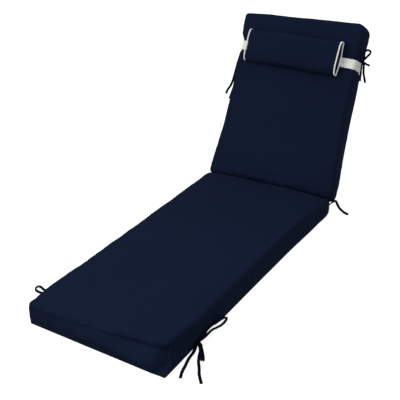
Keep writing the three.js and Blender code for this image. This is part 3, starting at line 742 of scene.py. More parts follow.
def make_pillow(size, material):
    """The pillow's cover: a filled tube of cloth with an end panel set in at each end."""
    steps, half = PILLOW_STEPS, size.length / 2
    shares = np.concatenate([np.linspace(0, 0.93, 22), [0.96, 0.975, 0.985, 0.993, 0.998, 1.0]])
    xs = np.concatenate([-half * shares[:0:-1], half * shares])
    rings, fields = [], {"seam": [], "tube": []}
    for x in xs:
        inside = half - abs(x)
        inset = 0.0032 * math.exp(-inside / 0.0012) + 0.0012 * math.exp(-inside / 0.02)
        v, w = slab(size, steps, inset, 1 + 0.25 * float(smooth(inside, 0.0, 0.15)))
        rings.append(pillow_place(np.full(steps, x), v, w, size))
        fields["seam"].append(np.full(steps, math.exp(-inside / 0.003)))
        fields["tube"].append(np.full(steps, x))
    points = list(np.concatenate(rings))
    faces, uvs = [], []
    v, w = slab(size, steps + 1)
    around = np.concatenate([[0], np.cumsum(np.hypot(np.diff(v), np.diff(w)))])
    for r in range(len(xs) - 1):
        for i in range(steps):
            j = (i + 1) % steps
            faces.append((r * steps + i, (r + 1) * steps + i, (r + 1) * steps + j, r * steps + j))
            here, there = xs[r], xs[r + 1]
            uvs.extend([(here, around[i]), (there, around[i]), (there, around[i + 1]), (here, around[i + 1])])
    for end, way in ((0, -1), (len(xs) - 1, 1)):
        previous = [end * steps + i for i in range(steps)]
        v, w = slab(size, steps, 0.0044)
        middle = (size.front - size.rear) / 2
        for scale in PANEL_SCALES:
            dome = PANEL_DOME * (1 - scale ** 2) - SEAM_DEPTH * (scale > 0.9)
            x = way * (half + dome)
            if scale:
                start = len(points)
                points.extend(pillow_place(np.full(steps, x), v * scale, middle + (w - middle) * scale, size))
                ring = list(range(start, start + steps))
            else:
                points.append(pillow_place(np.array(x), np.array(0.0), np.array(middle), size))
                ring = [len(points) - 1] * steps
            for i in range(steps):
                j = (i + 1) % steps
                corners = [previous[i], ring[i], ring[j], previous[j]]
                if not scale:
                    corners.pop(2)
                if way < 0:
                    corners.reverse()
                faces.append(tuple(corners))
                uvs.extend((points[c][1] + points[c][0], points[c][2]) for c in corners)
            previous = ring
    spare = len(points) - len(xs) * steps
    fields = {key: np.concatenate([*values, np.zeros(spare)]) for key, values in fields.items()}
    piece = new_piece("head_pillow_cover", points, faces, material, uvs, fields)
    hold = np.clip(0.3 + fields["seam"], 0, 1)
    hold[len(xs) * steps:] = 1
    puff(piece, hold, pressure=3.0, slack=0.015, most=0.003)
    settle_on_face(piece)
    subdivide(piece)
    points, normals = read_vectors(piece, "co"), read_vectors(piece, "normal")
    tube, seam = read_field(piece, "tube"), read_field(piece, "seam")
    turn = np.arctan2(normals[:, 2], normals[:, 1])
    end_pull = np.exp(-(half - np.abs(tube)) / 0.022) * (np.abs(tube) > 0)
    free = 1 - np.clip(seam, 0, 1)
    puckers = np.sin(turn * 17 + 2 * np.sin(turn * 3)) * end_pull * free * PILLOW_PUCKER
    seed, length, depth = PILLOW_WANDER
    slow = unevenness(seed, length)(tube, turn * 0.05) * depth * free * (np.abs(tube) > 0)
    write_points(piece, points + normals * (puckers + slow)[:, None])
    settle_on_face(piece)
    return piece


def settle_on_face(piece):
    """Keeps the pillow's rear off the cushion's face."""
    points = read_vectors(piece, "co") - ORIGIN
    c, s = math.cos(BACK_ANGLE), math.sin(BACK_ANGLE)
    y, z = points[:, 1] - SEAT_LENGTH, points[:, 2] - HINGE_HEIGHT
    along, rise = y * c + z * s, -y * s + z * c
    table = read_table(BACK_SECTIONS)
    at = np.clip(along + points[:, 0] * STRAP_SKEW, 0, BACK_LENGTH)
    face = through(table["at"], table["middle"], at)
    height = np.maximum(rise + HINGE_HEIGHT, face + 2 * GAP)
    moved = on_back(points[:, 0], along, height)
    write_points(piece, moved + ORIGIN)


def tube_mesh(name, path, radius, sides, material, fold):
    """A round tube along a closed path, with a sewn lip of the height fold on its inner side."""
    count = len(path)
    ahead = np.roll(path, -1, 0) - np.roll(path, 1, 0)
    ahead /= np.linalg.norm(ahead, axis=1)[:, None]
    outward = path - path.mean(0)
    outward -= (outward * ahead).sum(1)[:, None] * ahead
    outward /= np.linalg.norm(outward, axis=1)[:, None]
    sideways = np.cross(ahead, outward)
    angles = np.arange(sides) / sides * 2 * math.pi
    points, faces, uvs = [], [], []
    for k in range(count):
        for a in angles:
            lip = fold * max(0.0, math.cos(a - math.pi)) ** 12
            points.append(path[k] + (radius + lip) * (outward[k] * math.cos(a) + sideways[k] * math.sin(a)))
    run = np.concatenate([[0], np.cumsum(np.linalg.norm(np.diff(path, axis=0), axis=1))])
    step = run[1]
    for k in range(count):
        for i in range(sides):
            j, n = (i + 1) % sides, (k + 1) % count
            faces.append((k * sides + i, k * sides + j, n * sides + j, n * sides + i))
            a, b = radius * angles[i], radius * (angles[i] + 2 * math.pi / sides)
            uvs.extend([(a, run[k]), (b, run[k]), (b, run[k] + step), (a, run[k] + step)])
    return new_piece(name, points, faces, material, uvs)


PIPING_SIDES = 14
PIPING_LIP = 0.0006


def make_piping(size, way, material):
    """White piping round one end panel of the pillow."""
    steps = 168
    v, w = slab(size, steps, 0.002)
    beside = way * (size.length / 2 + size.piping + 3 * GAP)
    path = pillow_place(np.full(steps, beside), v, w, size, clear=size.piping)
    for _ in range(3):
        path = (np.roll(path, 1, 0) + path + np.roll(path, -1, 0)) / 3
    name = "pillow_piping_cord_" + ("right" if way > 0 else "left")
    piece = tube_mesh(name, path, size.piping, PIPING_SIDES, material, PIPING_LIP)
    face_outward(piece, path[0])
    return piece


# Straps

def catmull(points, per_span):
    """A centripetal curve through the points, as the ties' solids follow, with even steps."""
    points = np.asarray(points, float)
    ends = [2 * points[0] - points[1], *points, 2 * points[-1] - points[-2]]
    found = []
    for a, b, c, d in zip(ends[:-3], ends[1:-2], ends[2:-1], ends[3:]):
        ta = 0.0
        tb = ta + np.linalg.norm(b - a) ** 0.5
        tc = tb + np.linalg.norm(c - b) ** 0.5
        td = tc + np.linalg.norm(d - c) ** 0.5
        for t in np.linspace(tb, tc, per_span, endpoint=False):
            ab = (tb - t) / (tb - ta) * a + (t - ta) / (tb - ta) * b
            bc = (tc - t) / (tc - tb) * b + (t - tb) / (tc - tb) * c
            cd = (td - t) / (td - tc) * c + (t - tc) / (td - tc) * d
            abc = (tc - t) / (tc - ta) * ab + (t - ta) / (tc - ta) * bc
            bcd = (td - t) / (td - tb) * bc + (t - tb) / (td - tb) * cd
            found.append((tc - t) / (tc - tb) * abc + (t - tb) / (tc - tb) * bcd)
    found.append(points[-1])
    return np.array(found)


def even(path, step):
    """The same path with points about a step apart."""
    run = np.concatenate([[0], np.cumsum(np.linalg.norm(np.diff(path, axis=0), axis=1))])
    places = np.linspace(0, run[-1], max(3, round(run[-1] / step) + 1))
    return np.stack([np.interp(places, run, path[:, k]) for k in range(3)], -1)


TIE_STEP = 0.0025


def tie_path(points, per_span=10):
    """A tie's centre line through the points, in short even steps."""
    return even(catmull(points, per_span), TIE_STEP)


def path_length(path):
    """The length of a path along its points."""
    return float(np.linalg.norm(np.diff(path, axis=0), axis=1).sum())


def ribbon(path, across, section_points):
    """Points of a flat strap: its section, as (across, thickness), carried along a path."""
    ahead = np.gradient(path, axis=0)
    ahead /= np.linalg.norm(ahead, axis=1)[:, None]
    across = np.asarray(across, float) / np.linalg.norm(across)
    normal = np.cross(ahead, across)
    normal /= np.linalg.norm(normal, axis=1)[:, None]
    sideways = np.cross(normal, ahead)
    section_points = np.asarray(section_points)
    return (path[:, None] + sideways[:, None] * section_points[None, :, :1]
            + normal[:, None] * section_points[None, :, 1:])


def strap_mesh(grid, measure_across, measure_along):
    """Faces and cloth measures of a strap's grid of points, closed at both ends."""
    count, around = grid.shape[:2]
    faces, uvs = [], []
    for k in range(count - 1):
        for i in range(around):
            j = (i + 1) % around
            faces.append((k * around + i, k * around + j, (k + 1) * around + j, (k + 1) * around + i))
            a, b = measure_across[i], measure_across[j]
            c, d = measure_along[k], measure_along[k + 1]
            uvs.extend([(a, c), (b, c), (b, d), (a, d)])
    for k, order in ((0, range(around - 1, -1, -1)), (count - 1, range(around))):
        faces.append(tuple(k * around + i for i in order))
        uvs.extend((measure_across[i], measure_along[k]) for i in order)
    return faces, uvs


def tape_section(width, thickness):
    """A folded and stitched tape: softly rounded edges and a shallow hollow along its middle."""
    w, t = width / 2, thickness / 2
    shares = np.linspace(-1, 1, 8)
    top = [(w * 0.93 * s, t * (1 - 0.10 * math.cos(s * math.pi * 0.5) ** 2)) for s in shares]
    bottom = [(-x, -y) for x, y in top]
    return [*top, (w, 0), *bottom, (-w, 0)]


TAPE_WANDER = 0.00012
LOWEST_TAPE = 0.0001  # no tape lies lower than this above the floor


def tape(name, path, across, material, width, thickness, seed):
    """A tie's tape along a path, with the small unevenness of hand-tied cloth."""
    section_points = np.array(tape_section(width, thickness))
    grid = ribbon(path, across, section_points)
    run = np.linspace(0, path_length(path), len(path))
    wander = unevenness(seed, 0.02)(run, run * 0.3)[:, None, None] * TAPE_WANDER
    grid = grid + wander * np.array([1, 0.6, 0.3])
    grid[..., 2] = np.maximum(grid[..., 2], LOWEST_TAPE)
    faces, uvs = strap_mesh(grid, section_points[:, 0], run)
    piece = new_piece(name, grid.reshape(-1, 3), faces, material, uvs)
    face_outward(piece, path[0])
    return piece


def join(name, pieces):
    """Several pieces as one."""
    for piece in bpy.context.selected_objects:
        piece.select_set(False)
    for piece in pieces:
        piece.select_set(True)
    bpy.context.view_layer.objects.active = pieces[0]
    bpy.ops.object.join()
    pieces[0].name = name
    pieces[0].data.name = name
    return pieces[0]


def lump(name, centre, radii, material, seed):
    """A knot's tight core: turns of tape pressed into a small lump."""
    rows, around = 13, 20
    ridge = unevenness(seed, 0.009)
    points, faces, uvs = [], [], []
    for r in range(1, rows):
        for i in range(around):
            polar, turn = math.pi * r / rows, 2 * math.pi * i / around
            level = math.sin(polar)
            way = np.array([level * math.cos(turn), level * math.sin(turn), math.cos(polar)])
            wrap = 0.05 * math.sin(3 * turn + 4 * polar)
            swell = 1 + wrap + 0.03 * float(ridge(turn * 0.006, polar * 0.006))
            points.append(centre + way * radii * min(swell, 1.06))
    top, bottom = len(points), len(points) + 1
    points.extend([centre + np.array([0, 0, radii[2]]), centre - np.array([0, 0, radii[2]])])
    for r in range(rows - 2):
        for i in range(around):
            j = (i + 1) % around
            faces.append((r * around + i, (r + 1) * around + i, (r + 1) * around + j, r * around + j))
    for i in range(around):
        j = (i + 1) % around
        faces.append((top, i, j))
        faces.append((bottom, (rows - 2) * around + j, (rows - 2) * around + i))
    for face in faces:
        uvs.extend((points[c][0] + points[c][1], points[c][2]) for c in face)
    piece = new_piece(name, points, faces, material, uvs)
    face_outward(piece, centre)
    return piece


WRAP_TAPE = (0.0056, 0.0018)  # width and thickness of the turns round a knot
BULB_RADIUS = 0.0048  # the small knot at a stub's end


def wrap_band(name, centre, radii, tilt, material, seed):
    """One turn of tape round a knot's core."""
    turn = np.linspace(0, 2 * math.pi, 25)
    a, b = math.radians(tilt[0]), math.radians(tilt[1])
    first = np.array([math.cos(a), math.sin(a), 0])
    second = np.array([-math.sin(a) * math.sin(b), math.cos(a) * math.sin(b), math.cos(b)])
    ways = np.cos(turn)[:, None] * first + np.sin(turn)[:, None] * second
    return tape(name, centre + ways * radii, np.cross(first, second), material, *WRAP_TAPE, seed)


def beside_knot(knot, point):
    """The place just outside a knot's lump, towards a point."""
    way = point - knot
    way = way / np.linalg.norm(way)
    reach = 1 / np.linalg.norm(way / (np.array(KNOT_RADII) * MM))
    return knot + way * (reach + GAP)


def make_tie(name, tie, material):
    """One pair of ties: its knot with the loops on it, and its long loop and free tails as cords."""
    knot = np.array(tie["knot"]) * MM
    seed = sum(map(ord, name))
    radii = np.array(KNOT_RADII) * MM * 0.93
    parts = [lump(name + "_core", knot, radii, material, seed)]
    parts.append(wrap_band(name + "_wrap", knot, radii, (30, 20), material, seed + 1))
    parts.append(wrap_band(name + "_wrap", knot, radii * 0.98, (100, 60), material, seed + 2))
    width, thickness = (size * MM for size in tie.get("tape", DRAWN_TAPE))
    cords = []
    for loop_name, (across, route) in tie["loops"].items():
        route = np.array(route, float) * MM
        if (name, loop_name) in LONG_LOOPS:
            path = tie_path([beside_knot(knot, route[0]), *route, beside_knot(knot, route[-1])])
            piece = tape(f"{name}_{loop_name}_loop", path, across, material, width, thickness, seed + 5)
            cords.append((piece, path, "object", name + "_knot", []))
        else:
            path = tie_path([knot, *route, knot])
            parts.append(tape(name + "_loop", path, across, material, width, thickness, seed + 6))
    if "stub" in tie:
        across, route = tie["stub"]
        route = np.array(route, float) * MM
        path = tie_path([knot, *route], 8)
        parts.append(tape(name + "_stub", path, across, material, width, thickness, seed))
        parts.append(lump(name + "_bulb", route[-1], np.full(3, BULB_RADIUS), material, seed + 3))
    for end, (across, route) in tie["tails"].items():
        route = np.array(route, float) * MM
        path = tie_path([beside_knot(knot, route[0]), *route])
        piece = tape(f"{name}_{end}_tape", path, across, material, width, thickness, seed + len(end))
        radius = KNOTTED_TAILS.get((name, end))
        extra = []
        if radius:
            x, y = route[-1][:2]
            centre = np.array([x, y, (radius + 0.3) * MM])
            extra.append(lump(f"{name}_{end}_end_knot", centre, np.full(3, radius * MM), material, seed + 9))
        cords.append((piece, path, "knot" if radius else "bare", f"{name}_{end}", extra))
    bow = join(name + "_bow", parts)
    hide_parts(name + "_knot")
    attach(bow, "root")
    for piece, path, far_end, node, extra in cords:
        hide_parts(node)
        for each in [piece, *extra]:
            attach(each, "root")


def strap_route(size, pillow):
    """The elastic strap's centre line, from under one end of the pillow round the waist to the other."""
    off = STRAP_LIFT + size.thickness / 2
    roll = TOP_ROLL + off
    out = WAIST["half"] + WAIST["swell"] + off
    top, bottom = WAIST["side"] + off, WAIST["under"] - off

    def half_route(start):
        points = [(start, top), ((start + out - roll) / 2, top), (out - roll, top)]
        for turn in (22, 45, 68):
            a = math.radians(turn)
            points.append((out - roll * (1 - math.sin(a)), top - roll * (1 - math.cos(a))))
        points += [(out, top - roll), (out, (top + bottom) / 2), (out - 0.0005, bottom + 0.008)]
        points += [(out - 0.0035, bottom + 0.0016), (out - 0.010, bottom)]
        points += [(WAIST["half"] * 0.6, bottom), (WAIST["half"] * 0.25, bottom)]
        return points
    tucked = pillow.length / 2 - size.tuck
    right = half_route(tucked + pillow.centre)
    left = [(-x, height) for x, height in half_route(tucked - pillow.centre)][::-1]
    flat = np.array(right + left)
    flat[:, 0] += WAIST["centre"]
    return on_back(flat[:, 0], STRAP_ALONG - flat[:, 0] * STRAP_SKEW, flat[:, 1])


STRAP_RIBS = 15
RIB_DEPTH = 0.00025
STRAP_STEP = 0.005
STRAP_WANDER = 0.0003


def make_strap(size, pillow, material):
    """The elastic webbing, with its fine lengthwise ribs."""
    path = even(catmull(strap_route(size, pillow), 12), STRAP_STEP)
    across = on_back(STRAP_SKEW, 1.0, HINGE_HEIGHT) - on_back(0.0, 0.0, HINGE_HEIGHT)
    w, t = size.width / 2, size.thickness / 2
    shares = np.linspace(-1, 1, STRAP_RIBS * 4 + 1)
    rib = t - RIB_DEPTH * (0.5 - 0.5 * np.cos((shares + 1) * STRAP_RIBS * math.pi))
    top = [(w * s, r) for s, r in zip(shares * 0.985, rib)]
    section_points = np.array([*top, (w, 0), *[(-x, -y) for x, y in top], (-w, 0)])
    grid = ribbon(path, across, section_points)
    run = np.linspace(0, path_length(path), len(path))
    edge = unevenness(31, 0.05)(run, run * 0.2)[:, None, None] * STRAP_WANDER
    grid = grid + edge * (across / np.linalg.norm(across))
    faces, uvs = strap_mesh(grid, section_points[:, 0], run)
    piece = new_piece("pillow_strap_webbing", grid.reshape(-1, 3), faces, material, uvs)
    face_outward(piece, path[0])
    return piece


# Materials

def linked(tree, kind, inputs=None, **settings):
    """A node with its settings, each input either a value or another node's output."""
    node = tree.nodes.new(kind)
    for key, value in settings.items():
        setattr(node, key, value)
    for key, value in (inputs or {}).items():
        if isinstance(value, bpy.types.NodeSocket):
            tree.links.new(value, node.inputs[key])
        else:
            node.inputs[key].default_value = value
    return node


def calc(tree, operation, a, b=0.0):
    """The output of a math node."""
    return linked(tree, "ShaderNodeMath", {0: a, 1: b}, operation=operation).outputs[0]


def mixed(tree, factor, a, b):
    """The colour between a and b."""
    return linked(tree, "ShaderNodeMix", {0: factor, 6: a, 7: b}, data_type="RGBA").outputs[2]


def tinted(colour, scale):
    """The colour, lighter or darker."""
    return (colour[0] * scale, colour[1] * scale, colour[2] * scale, 1.0)


def woven(name, colour, pitch, contrast, relief, roughness):
    """A plain weave: threads both ways in the cloth's own measure, with slubs and slow shade changes."""
    material = bpy.data.materials.new(name)
    material.use_nodes = True
    tree = material.node_tree
    tree.nodes.clear()
    shader = linked(tree, "ShaderNodeBsdfPrincipled")
    output = linked(tree, "ShaderNodeOutputMaterial")
    tree.links.new(shader.outputs[0], output.inputs[0])
    measure = linked(tree, "ShaderNodeUVMap", uv_map="cloth").outputs[0]
    parts = linked(tree, "ShaderNodeSeparateXYZ", {0: measure})
    turn = 2 * math.pi / pitch
    warp = calc(tree, "SINE", calc(tree, "MULTIPLY", parts.outputs[0], turn))
    weft = calc(tree, "SINE", calc(tree, "MULTIPLY", parts.outputs[1], turn))
    crossing = calc(tree, "MULTIPLY", warp, weft)
    threads = calc(tree, "ADD", calc(tree, "MULTIPLY", crossing, 0.5), 0.5)
    fine, coarse = 1 / (pitch * 1.2), 1 / (pitch * 26)
    noises = []
    for stretch in ((fine, coarse, 1), (coarse, fine, 1)):
        slub = linked(tree, "ShaderNodeMapping", {0: measure, 3: stretch}).outputs[0]
        noise = linked(tree, "ShaderNodeTexNoise", {"Vector": slub, "Scale": 1.0, "Detail": 2.0})
        noises.append(noise.outputs[0])
    slubs = calc(tree, "MULTIPLY", calc(tree, "ADD", *noises), 0.5)
    place = linked(tree, "ShaderNodeTexCoord").outputs["Object"]
    shade = linked(tree, "ShaderNodeTexNoise", {"Vector": place, "Scale": 3.2, "Detail": 3.0}).outputs[0]
    light = calc(tree, "ADD", calc(tree, "MULTIPLY", threads, 0.35), calc(tree, "MULTIPLY", slubs, 0.65))
    yarn = mixed(tree, light, tinted(colour, 1 - contrast), tinted(colour, 1 + contrast))
    spread = linked(tree, "ShaderNodeMapRange", {0: shade, 1: 0.35, 2: 0.65, 3: 0.0, 4: 1.0}).outputs[0]
    faded = mixed(tree, calc(tree, "MULTIPLY", spread, 0.16), yarn, tinted(colour, 1.45))
    tree.links.new(faded, shader.inputs["Base Color"])
    rough_range = {0: slubs, 1: 0.3, 2: 0.7, 3: roughness - 0.06, 4: roughness + 0.05}
    rough = linked(tree, "ShaderNodeMapRange", rough_range)
    tree.links.new(rough.outputs[0], shader.inputs["Roughness"])
    shader.inputs["Specular IOR Level"].default_value = 0.02
    height = calc(tree, "ADD", calc(tree, "MULTIPLY", threads, 0.6), calc(tree, "MULTIPLY", slubs, 0.8))
    bump = linked(tree, "ShaderNodeBump", {"Strength": 0.5, "Distance": relief, "Height": height})
    tree.links.new(bump.outputs[0], shader.inputs["Normal"])
    return material


def floor_material(colour, glow):
    """The plain pale floor; a little glow keeps its shadows faint."""
    material = bpy.data.materials.new("pale_floor")
    material.use_nodes = True
    shader = material.node_tree.nodes["Principled BSDF"]
    shader.inputs["Base Color"].default_value = (*colour, 1)
    shader.inputs["Roughness"].default_value = 0.95
    shader.inputs["Specular IOR Level"].default_value = 0.0
    shader.inputs["Emission Color"].default_value = (1, 1, 1, 1)
    shader.inputs["Emission Strength"].default_value = glow
    return material


# Sizes and colours that a user would change

class CHAISE_PG_cloth(bpy.types.PropertyGroup):
    navy: bpy.props.FloatVectorProperty(
        name="Navy", description="Colour of the cushion's and the pillow's cloth", subtype="COLOR", size=3,
        min=0, max=1, default=(0.0057, 0.0098, 0.0264))
    tie: bpy.props.FloatVectorProperty(
        name="Tie", description="Colour of the ties' tape", subtype="COLOR", size=3,
        min=0, max=1, default=(0.0020, 0.0032, 0.0090))
    piping: bpy.props.FloatVectorProperty(
        name="Piping", description="Colour of the pillow's piping", subtype="COLOR", size=3,
        min=0, max=1, default=(0.86, 0.87, 0.85))
    elastic: bpy.props.FloatVectorProperty(
        name="Elastic", description="Colour of the strap", subtype="COLOR", size=3,
        min=0, max=1, default=(0.74, 0.77, 0.74))
    thread: bpy.props.FloatProperty(
        name="Thread", description="Distance between threads of the cloth",
        subtype="DISTANCE", unit="LENGTH",
        default=0.0012)


class CHAISE_PG_pillow(bpy.types.PropertyGroup):
    length: bpy.props.FloatProperty(
        name="Length", description="Between the end panels",
        subtype="DISTANCE", unit="LENGTH", default=0.416)
    height: bpy.props.FloatProperty(
        name="Height", description="Along the back", subtype="DISTANCE", unit="LENGTH", default=0.136)
    front: bpy.props.FloatProperty(
        name="Front Swell", description="Away from the cushion",
        subtype="DISTANCE", unit="LENGTH", default=0.024)
    rear: bpy.props.FloatProperty(
        name="Rear Swell", description="Towards the cushion",
        subtype="DISTANCE", unit="LENGTH", default=0.020)
    lift: bpy.props.FloatProperty(
        name="Lift", description="Middle plane above the face",
        subtype="DISTANCE", unit="LENGTH", default=0.020)
    along: bpy.props.FloatProperty(
        name="Along", description="Centre from the hinge seam",
        subtype="DISTANCE", unit="LENGTH", default=0.577)
    centre: bpy.props.FloatProperty(
        name="Centre", description="Offset across the cushion",
        subtype="DISTANCE", unit="LENGTH", default=-0.009)
    turn: bpy.props.FloatProperty(
        name="Turn", description="How far it lies askew",
        subtype="ANGLE", unit="ROTATION", default=math.radians(2.3))
    roll: bpy.props.FloatProperty(
        name="Roll", description="How far its top edge leans out", subtype="ANGLE", unit="ROTATION",
        default=math.radians(1.5))
    slant: bpy.props.FloatProperty(
        name="Slant", description="How much further out its right end stands",
        subtype="ANGLE", unit="ROTATION",
        default=math.radians(1.3))
    piping: bpy.props.FloatProperty(
        name="Piping", description="Radius of the piping",
        subtype="DISTANCE", unit="LENGTH", default=0.0028)


class CHAISE_PG_strap(bpy.types.PropertyGroup):
    width: bpy.props.FloatProperty(
        name="Width", description="Width of the elastic", subtype="DISTANCE", unit="LENGTH", default=0.038)
    thickness: bpy.props.FloatProperty(
        name="Thickness", description="Thickness of the elastic",
        subtype="DISTANCE", unit="LENGTH", default=0.0015)
    tuck: bpy.props.FloatProperty(
        name="Tuck", description="Length under each end of the pillow",
        subtype="DISTANCE", unit="LENGTH", default=0.014)


class CHAISE_PG_studio(bpy.types.PropertyGroup):
    lens: bpy.props.FloatProperty(
        name="Lens", description="Focal length in millimetres on a 36 mm sensor", default=64.88)
    azimuth: bpy.props.FloatProperty(
        name="Azimuth", description="Camera's turn round the cushion", subtype="ANGLE", unit="ROTATION",
        default=math.radians(35.188))
    elevation: bpy.props.FloatProperty(
        name="Elevation", description="Camera above the horizon", subtype="ANGLE", unit="ROTATION",
        default=math.radians(27.466))
    roll: bpy.props.FloatProperty(
        name="Roll", description="Camera's roll",
        subtype="ANGLE", unit="ROTATION", default=math.radians(-3.897))
    distance: bpy.props.FloatProperty(
        name="Distance", description="Camera to the point looked at", subtype="DISTANCE", unit="LENGTH",
        default=2.798)
    target: bpy.props.FloatVectorProperty(
        name="Target", description="Point looked at, from the foot's seam",
        subtype="TRANSLATION", unit="LENGTH",
        size=3, default=(0.0, 0.8800, 0.1964))
    aside: bpy.props.FloatVectorProperty(
        name="Aside", description="Camera's slide to its right and up",
        subtype="TRANSLATION", unit="LENGTH",
        size=2, default=(-0.1344, -0.0686))
    sky: bpy.props.FloatProperty(name="Sky", description="Strength of the even light", default=0.90)
    key: bpy.props.FloatProperty(
        name="Key", description="Power of the soft light over the foot, in watts", default=17)
    front: bpy.props.FloatProperty(
        name="Front", description="Power of the light from the front, in watts", default=28)
    side: bpy.props.FloatProperty(
        name="Side", description="Power of the light from the right, in watts", default=9)
    glow: bpy.props.FloatProperty(name="Glow", description="Glow of the floor", default=0.85)


class CHAISE_PG_all(bpy.types.PropertyGroup):
    cloth: bpy.props.PointerProperty(name="Cloth", description="Colours and weave", type=CHAISE_PG_cloth)
    pillow: bpy.props.PointerProperty(
        name="Pillow", description="Sizes of the head pillow", type=CHAISE_PG_pillow)
    strap: bpy.props.PointerProperty(
        name="Strap", description="Sizes of the elastic strap", type=CHAISE_PG_strap)
    studio: bpy.props.PointerProperty(name="Studio", description="Camera and light", type=CHAISE_PG_studio)


# Operators

NAVY = "navy_outdoor_cloth"
FLOOR_REACH = 30  # half the floor's width
FLOOR_DROP = 0.0005  # how far below the cushion it lies
FLOOR_GREY = (0.35, 0.35, 0.35)


def navy_cloth(cloth):
    """The cloth that the cushion and the pillow share, made once."""
    found = bpy.data.materials.get(NAVY)
    if found:
        return found
    return woven(NAVY, cloth.navy, cloth.thread, contrast=0.22, relief=0.00025, roughness=0.9)


class CHAISE_OT_studio(bpy.types.Operator):
    """Sets up the camera, the pale floor and the soft light"""
    bl_idname = "chaise.studio"
    bl_label = "Studio"

    def execute(self, context):
        size = context.scene.chaise.studio
        scene = context.scene
        sin_a, cos_a = math.sin(size.azimuth), math.cos(size.azimuth)
        sin_e, cos_e = math.sin(size.elevation), math.cos(size.elevation)
        back = Vector((sin_a * cos_e, -cos_a * cos_e, sin_e))
        level = Vector((cos_a, sin_a, 0))
        upright = back.cross(level)
        cos_r, sin_r = math.cos(size.roll), math.sin(size.roll)
        right = level * cos_r + upright * sin_r
        up = upright * cos_r - level * sin_r
        camera = bpy.data.objects.new("camera", bpy.data.cameras.new("camera"))
        camera.data.lens = size.lens
        camera.data.sensor_width = 36
        camera.data.clip_end = 100
        place = Vector(ORIGIN) + Vector(size.target) + back * size.distance
        place += right * size.aside[0] + up * size.aside[1]
        turn = Matrix((right, up, back)).transposed()
        camera.matrix_world = Matrix.Translation(place) @ turn.to_4x4()
        scene.collection.objects.link(camera)
        scene.camera = camera
        floor_mesh = bpy.data.meshes.new("floor")
        ways = ((-1, -1), (1, -1), (1, 1), (-1, 1))
        corners = [(x * FLOOR_REACH, y * FLOOR_REACH, -FLOOR_DROP) for x, y in ways]
        floor_mesh.from_pydata(corners, [], [(0, 1, 2, 3)])
        floor = bpy.data.objects.new("floor", floor_mesh)
        floor.data.materials.append(floor_material(FLOOR_GREY, size.glow))
        scene.collection.objects.link(floor)
        floor.visible_diffuse = False
        world = bpy.data.worlds.new("even_light")
        world.use_nodes = True
        tree = world.node_tree
        background = tree.nodes["Background"]
        background.inputs[1].default_value = size.sky
        way = linked(tree, "ShaderNodeTexCoord").outputs["Generated"]
        upward = linked(tree, "ShaderNodeSeparateXYZ", {0: way}).outputs[2]
        dim = linked(tree, "ShaderNodeMapRange", {0: upward, 1: -0.5, 2: 1.0, 3: 0.04, 4: 1.0})
        dim.interpolation_type = "SMOOTHSTEP"
        tree.links.new(dim.outputs[0], background.inputs[0])
        scene.world = world
        lamps = (  # name, power, width, place and the point aimed at
            ("overhead", size.key, 1.4, (-0.9, -1.1, 1.8), (0, -0.4, 0.1)),
            ("front", size.front, 1.6, (-1.5, -2.7, 1.1), (0, 0.2, 0.3)),
            ("side", size.side, 1.6, (2.8, 0.1, 1.0), (0, 0.1, 0.2)),
        )
        for name, power, width, place, aim in lamps:
            lamp = bpy.data.lights.new(name, "AREA")
            lamp.energy = power
            lamp.size = width
            light = bpy.data.objects.new(name, lamp)
            light.location = place
            light.rotation_euler = (Vector(aim) - Vector(place)).to_track_quat("-Z", "Y").to_euler()
            scene.collection.objects.link(light)
        scene.view_settings.view_transform = "Standard"
        return {"FINISHED"}


class CHAISE_OT_ties(bpy.types.Operator):
    """Makes the six pairs of ties with their knots, loops and free tails"""
    bl_idname = "chaise.ties"
    bl_label = "Ties"

    def execute(self, context):
        cloth = context.scene.chaise.cloth
        material = woven("navy_tie_tape", cloth.tie, 0.0007, contrast=0.25, relief=0.00012, roughness=0.9)
        for name, tie in TIES.items():
            make_tie(name, tie, material)
        return {"FINISHED"}


class CHAISE_OT_cushion(bpy.types.Operator):
    """Makes the cushion's cover over its filling"""
    bl_idname = "chaise.cushion"
    bl_label = "Cushion"

    def execute(self, context):
        piece = make_cushion(navy_cloth(context.scene.chaise.cloth))
        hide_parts("cushion")
        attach(piece, "root")
        return {"FINISHED"}


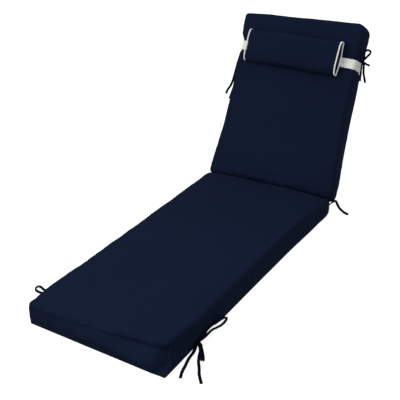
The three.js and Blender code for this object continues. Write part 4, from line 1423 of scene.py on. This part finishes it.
class CHAISE_OT_pillow(bpy.types.Operator):
    """Makes the head pillow and the piping round its end panels"""
    bl_idname = "chaise.pillow"
    bl_label = "Head Pillow"

    def execute(self, context):
        sizes = context.scene.chaise
        piece = make_pillow(sizes.pillow, navy_cloth(sizes.cloth))
        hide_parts("head_pillow")
        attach(piece, "root")
        colour = sizes.cloth.piping
        white = woven("white_piping_cloth", colour, 0.0006, contrast=0.05, relief=0.0001, roughness=0.8)
        for way, side in ((1, "right"), (-1, "left")):
            piping = make_piping(sizes.pillow, way, white)
            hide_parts("pillow_piping_" + side)
            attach(piping, "root")
        return {"FINISHED"}


class CHAISE_OT_strap(bpy.types.Operator):
    """Makes the elastic strap round the waist"""
    bl_idname = "chaise.strap"
    bl_label = "Elastic Strap"

    def execute(self, context):
        sizes = context.scene.chaise
        colour = sizes.cloth.elastic
        white = woven("white_elastic", colour, 0.0009, contrast=0.06, relief=0.00015, roughness=0.8)
        piece = make_strap(sizes.strap, sizes.pillow, white)
        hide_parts("pillow_strap")
        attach(piece, "root")
        return {"FINISHED"}


class CHAISE_PT_panel(bpy.types.Panel):
    """Lists what the cushion is made of"""
    bl_idname = "CHAISE_PT_panel"
    bl_label = "Chaise Cushion"
    bl_space_type = "VIEW_3D"
    bl_region_type = "UI"
    bl_category = "Chaise"

    def draw(self, context):
        column = self.layout.column()
        for operator in OPERATORS:
            column.operator(operator.bl_idname)


GROUPS = (CHAISE_PG_cloth, CHAISE_PG_pillow, CHAISE_PG_strap, CHAISE_PG_studio, CHAISE_PG_all)
OPERATORS = (CHAISE_OT_studio, CHAISE_OT_ties, CHAISE_OT_cushion, CHAISE_OT_pillow, CHAISE_OT_strap)
CLASSES = (*GROUPS, *OPERATORS, CHAISE_PT_panel)


def register():
    for each in CLASSES:
        bpy.utils.register_class(each)
    bpy.types.Scene.chaise = bpy.props.PointerProperty(type=CHAISE_PG_all)


def unregister():
    del bpy.types.Scene.chaise
    for each in reversed(CLASSES):
        bpy.utils.unregister_class(each)


def main():
    register()
    for operator in OPERATORS:
        group, name = operator.bl_idname.split(".")
        getattr(getattr(bpy.ops, group), name)()


if __name__ == "__main__":
    main()
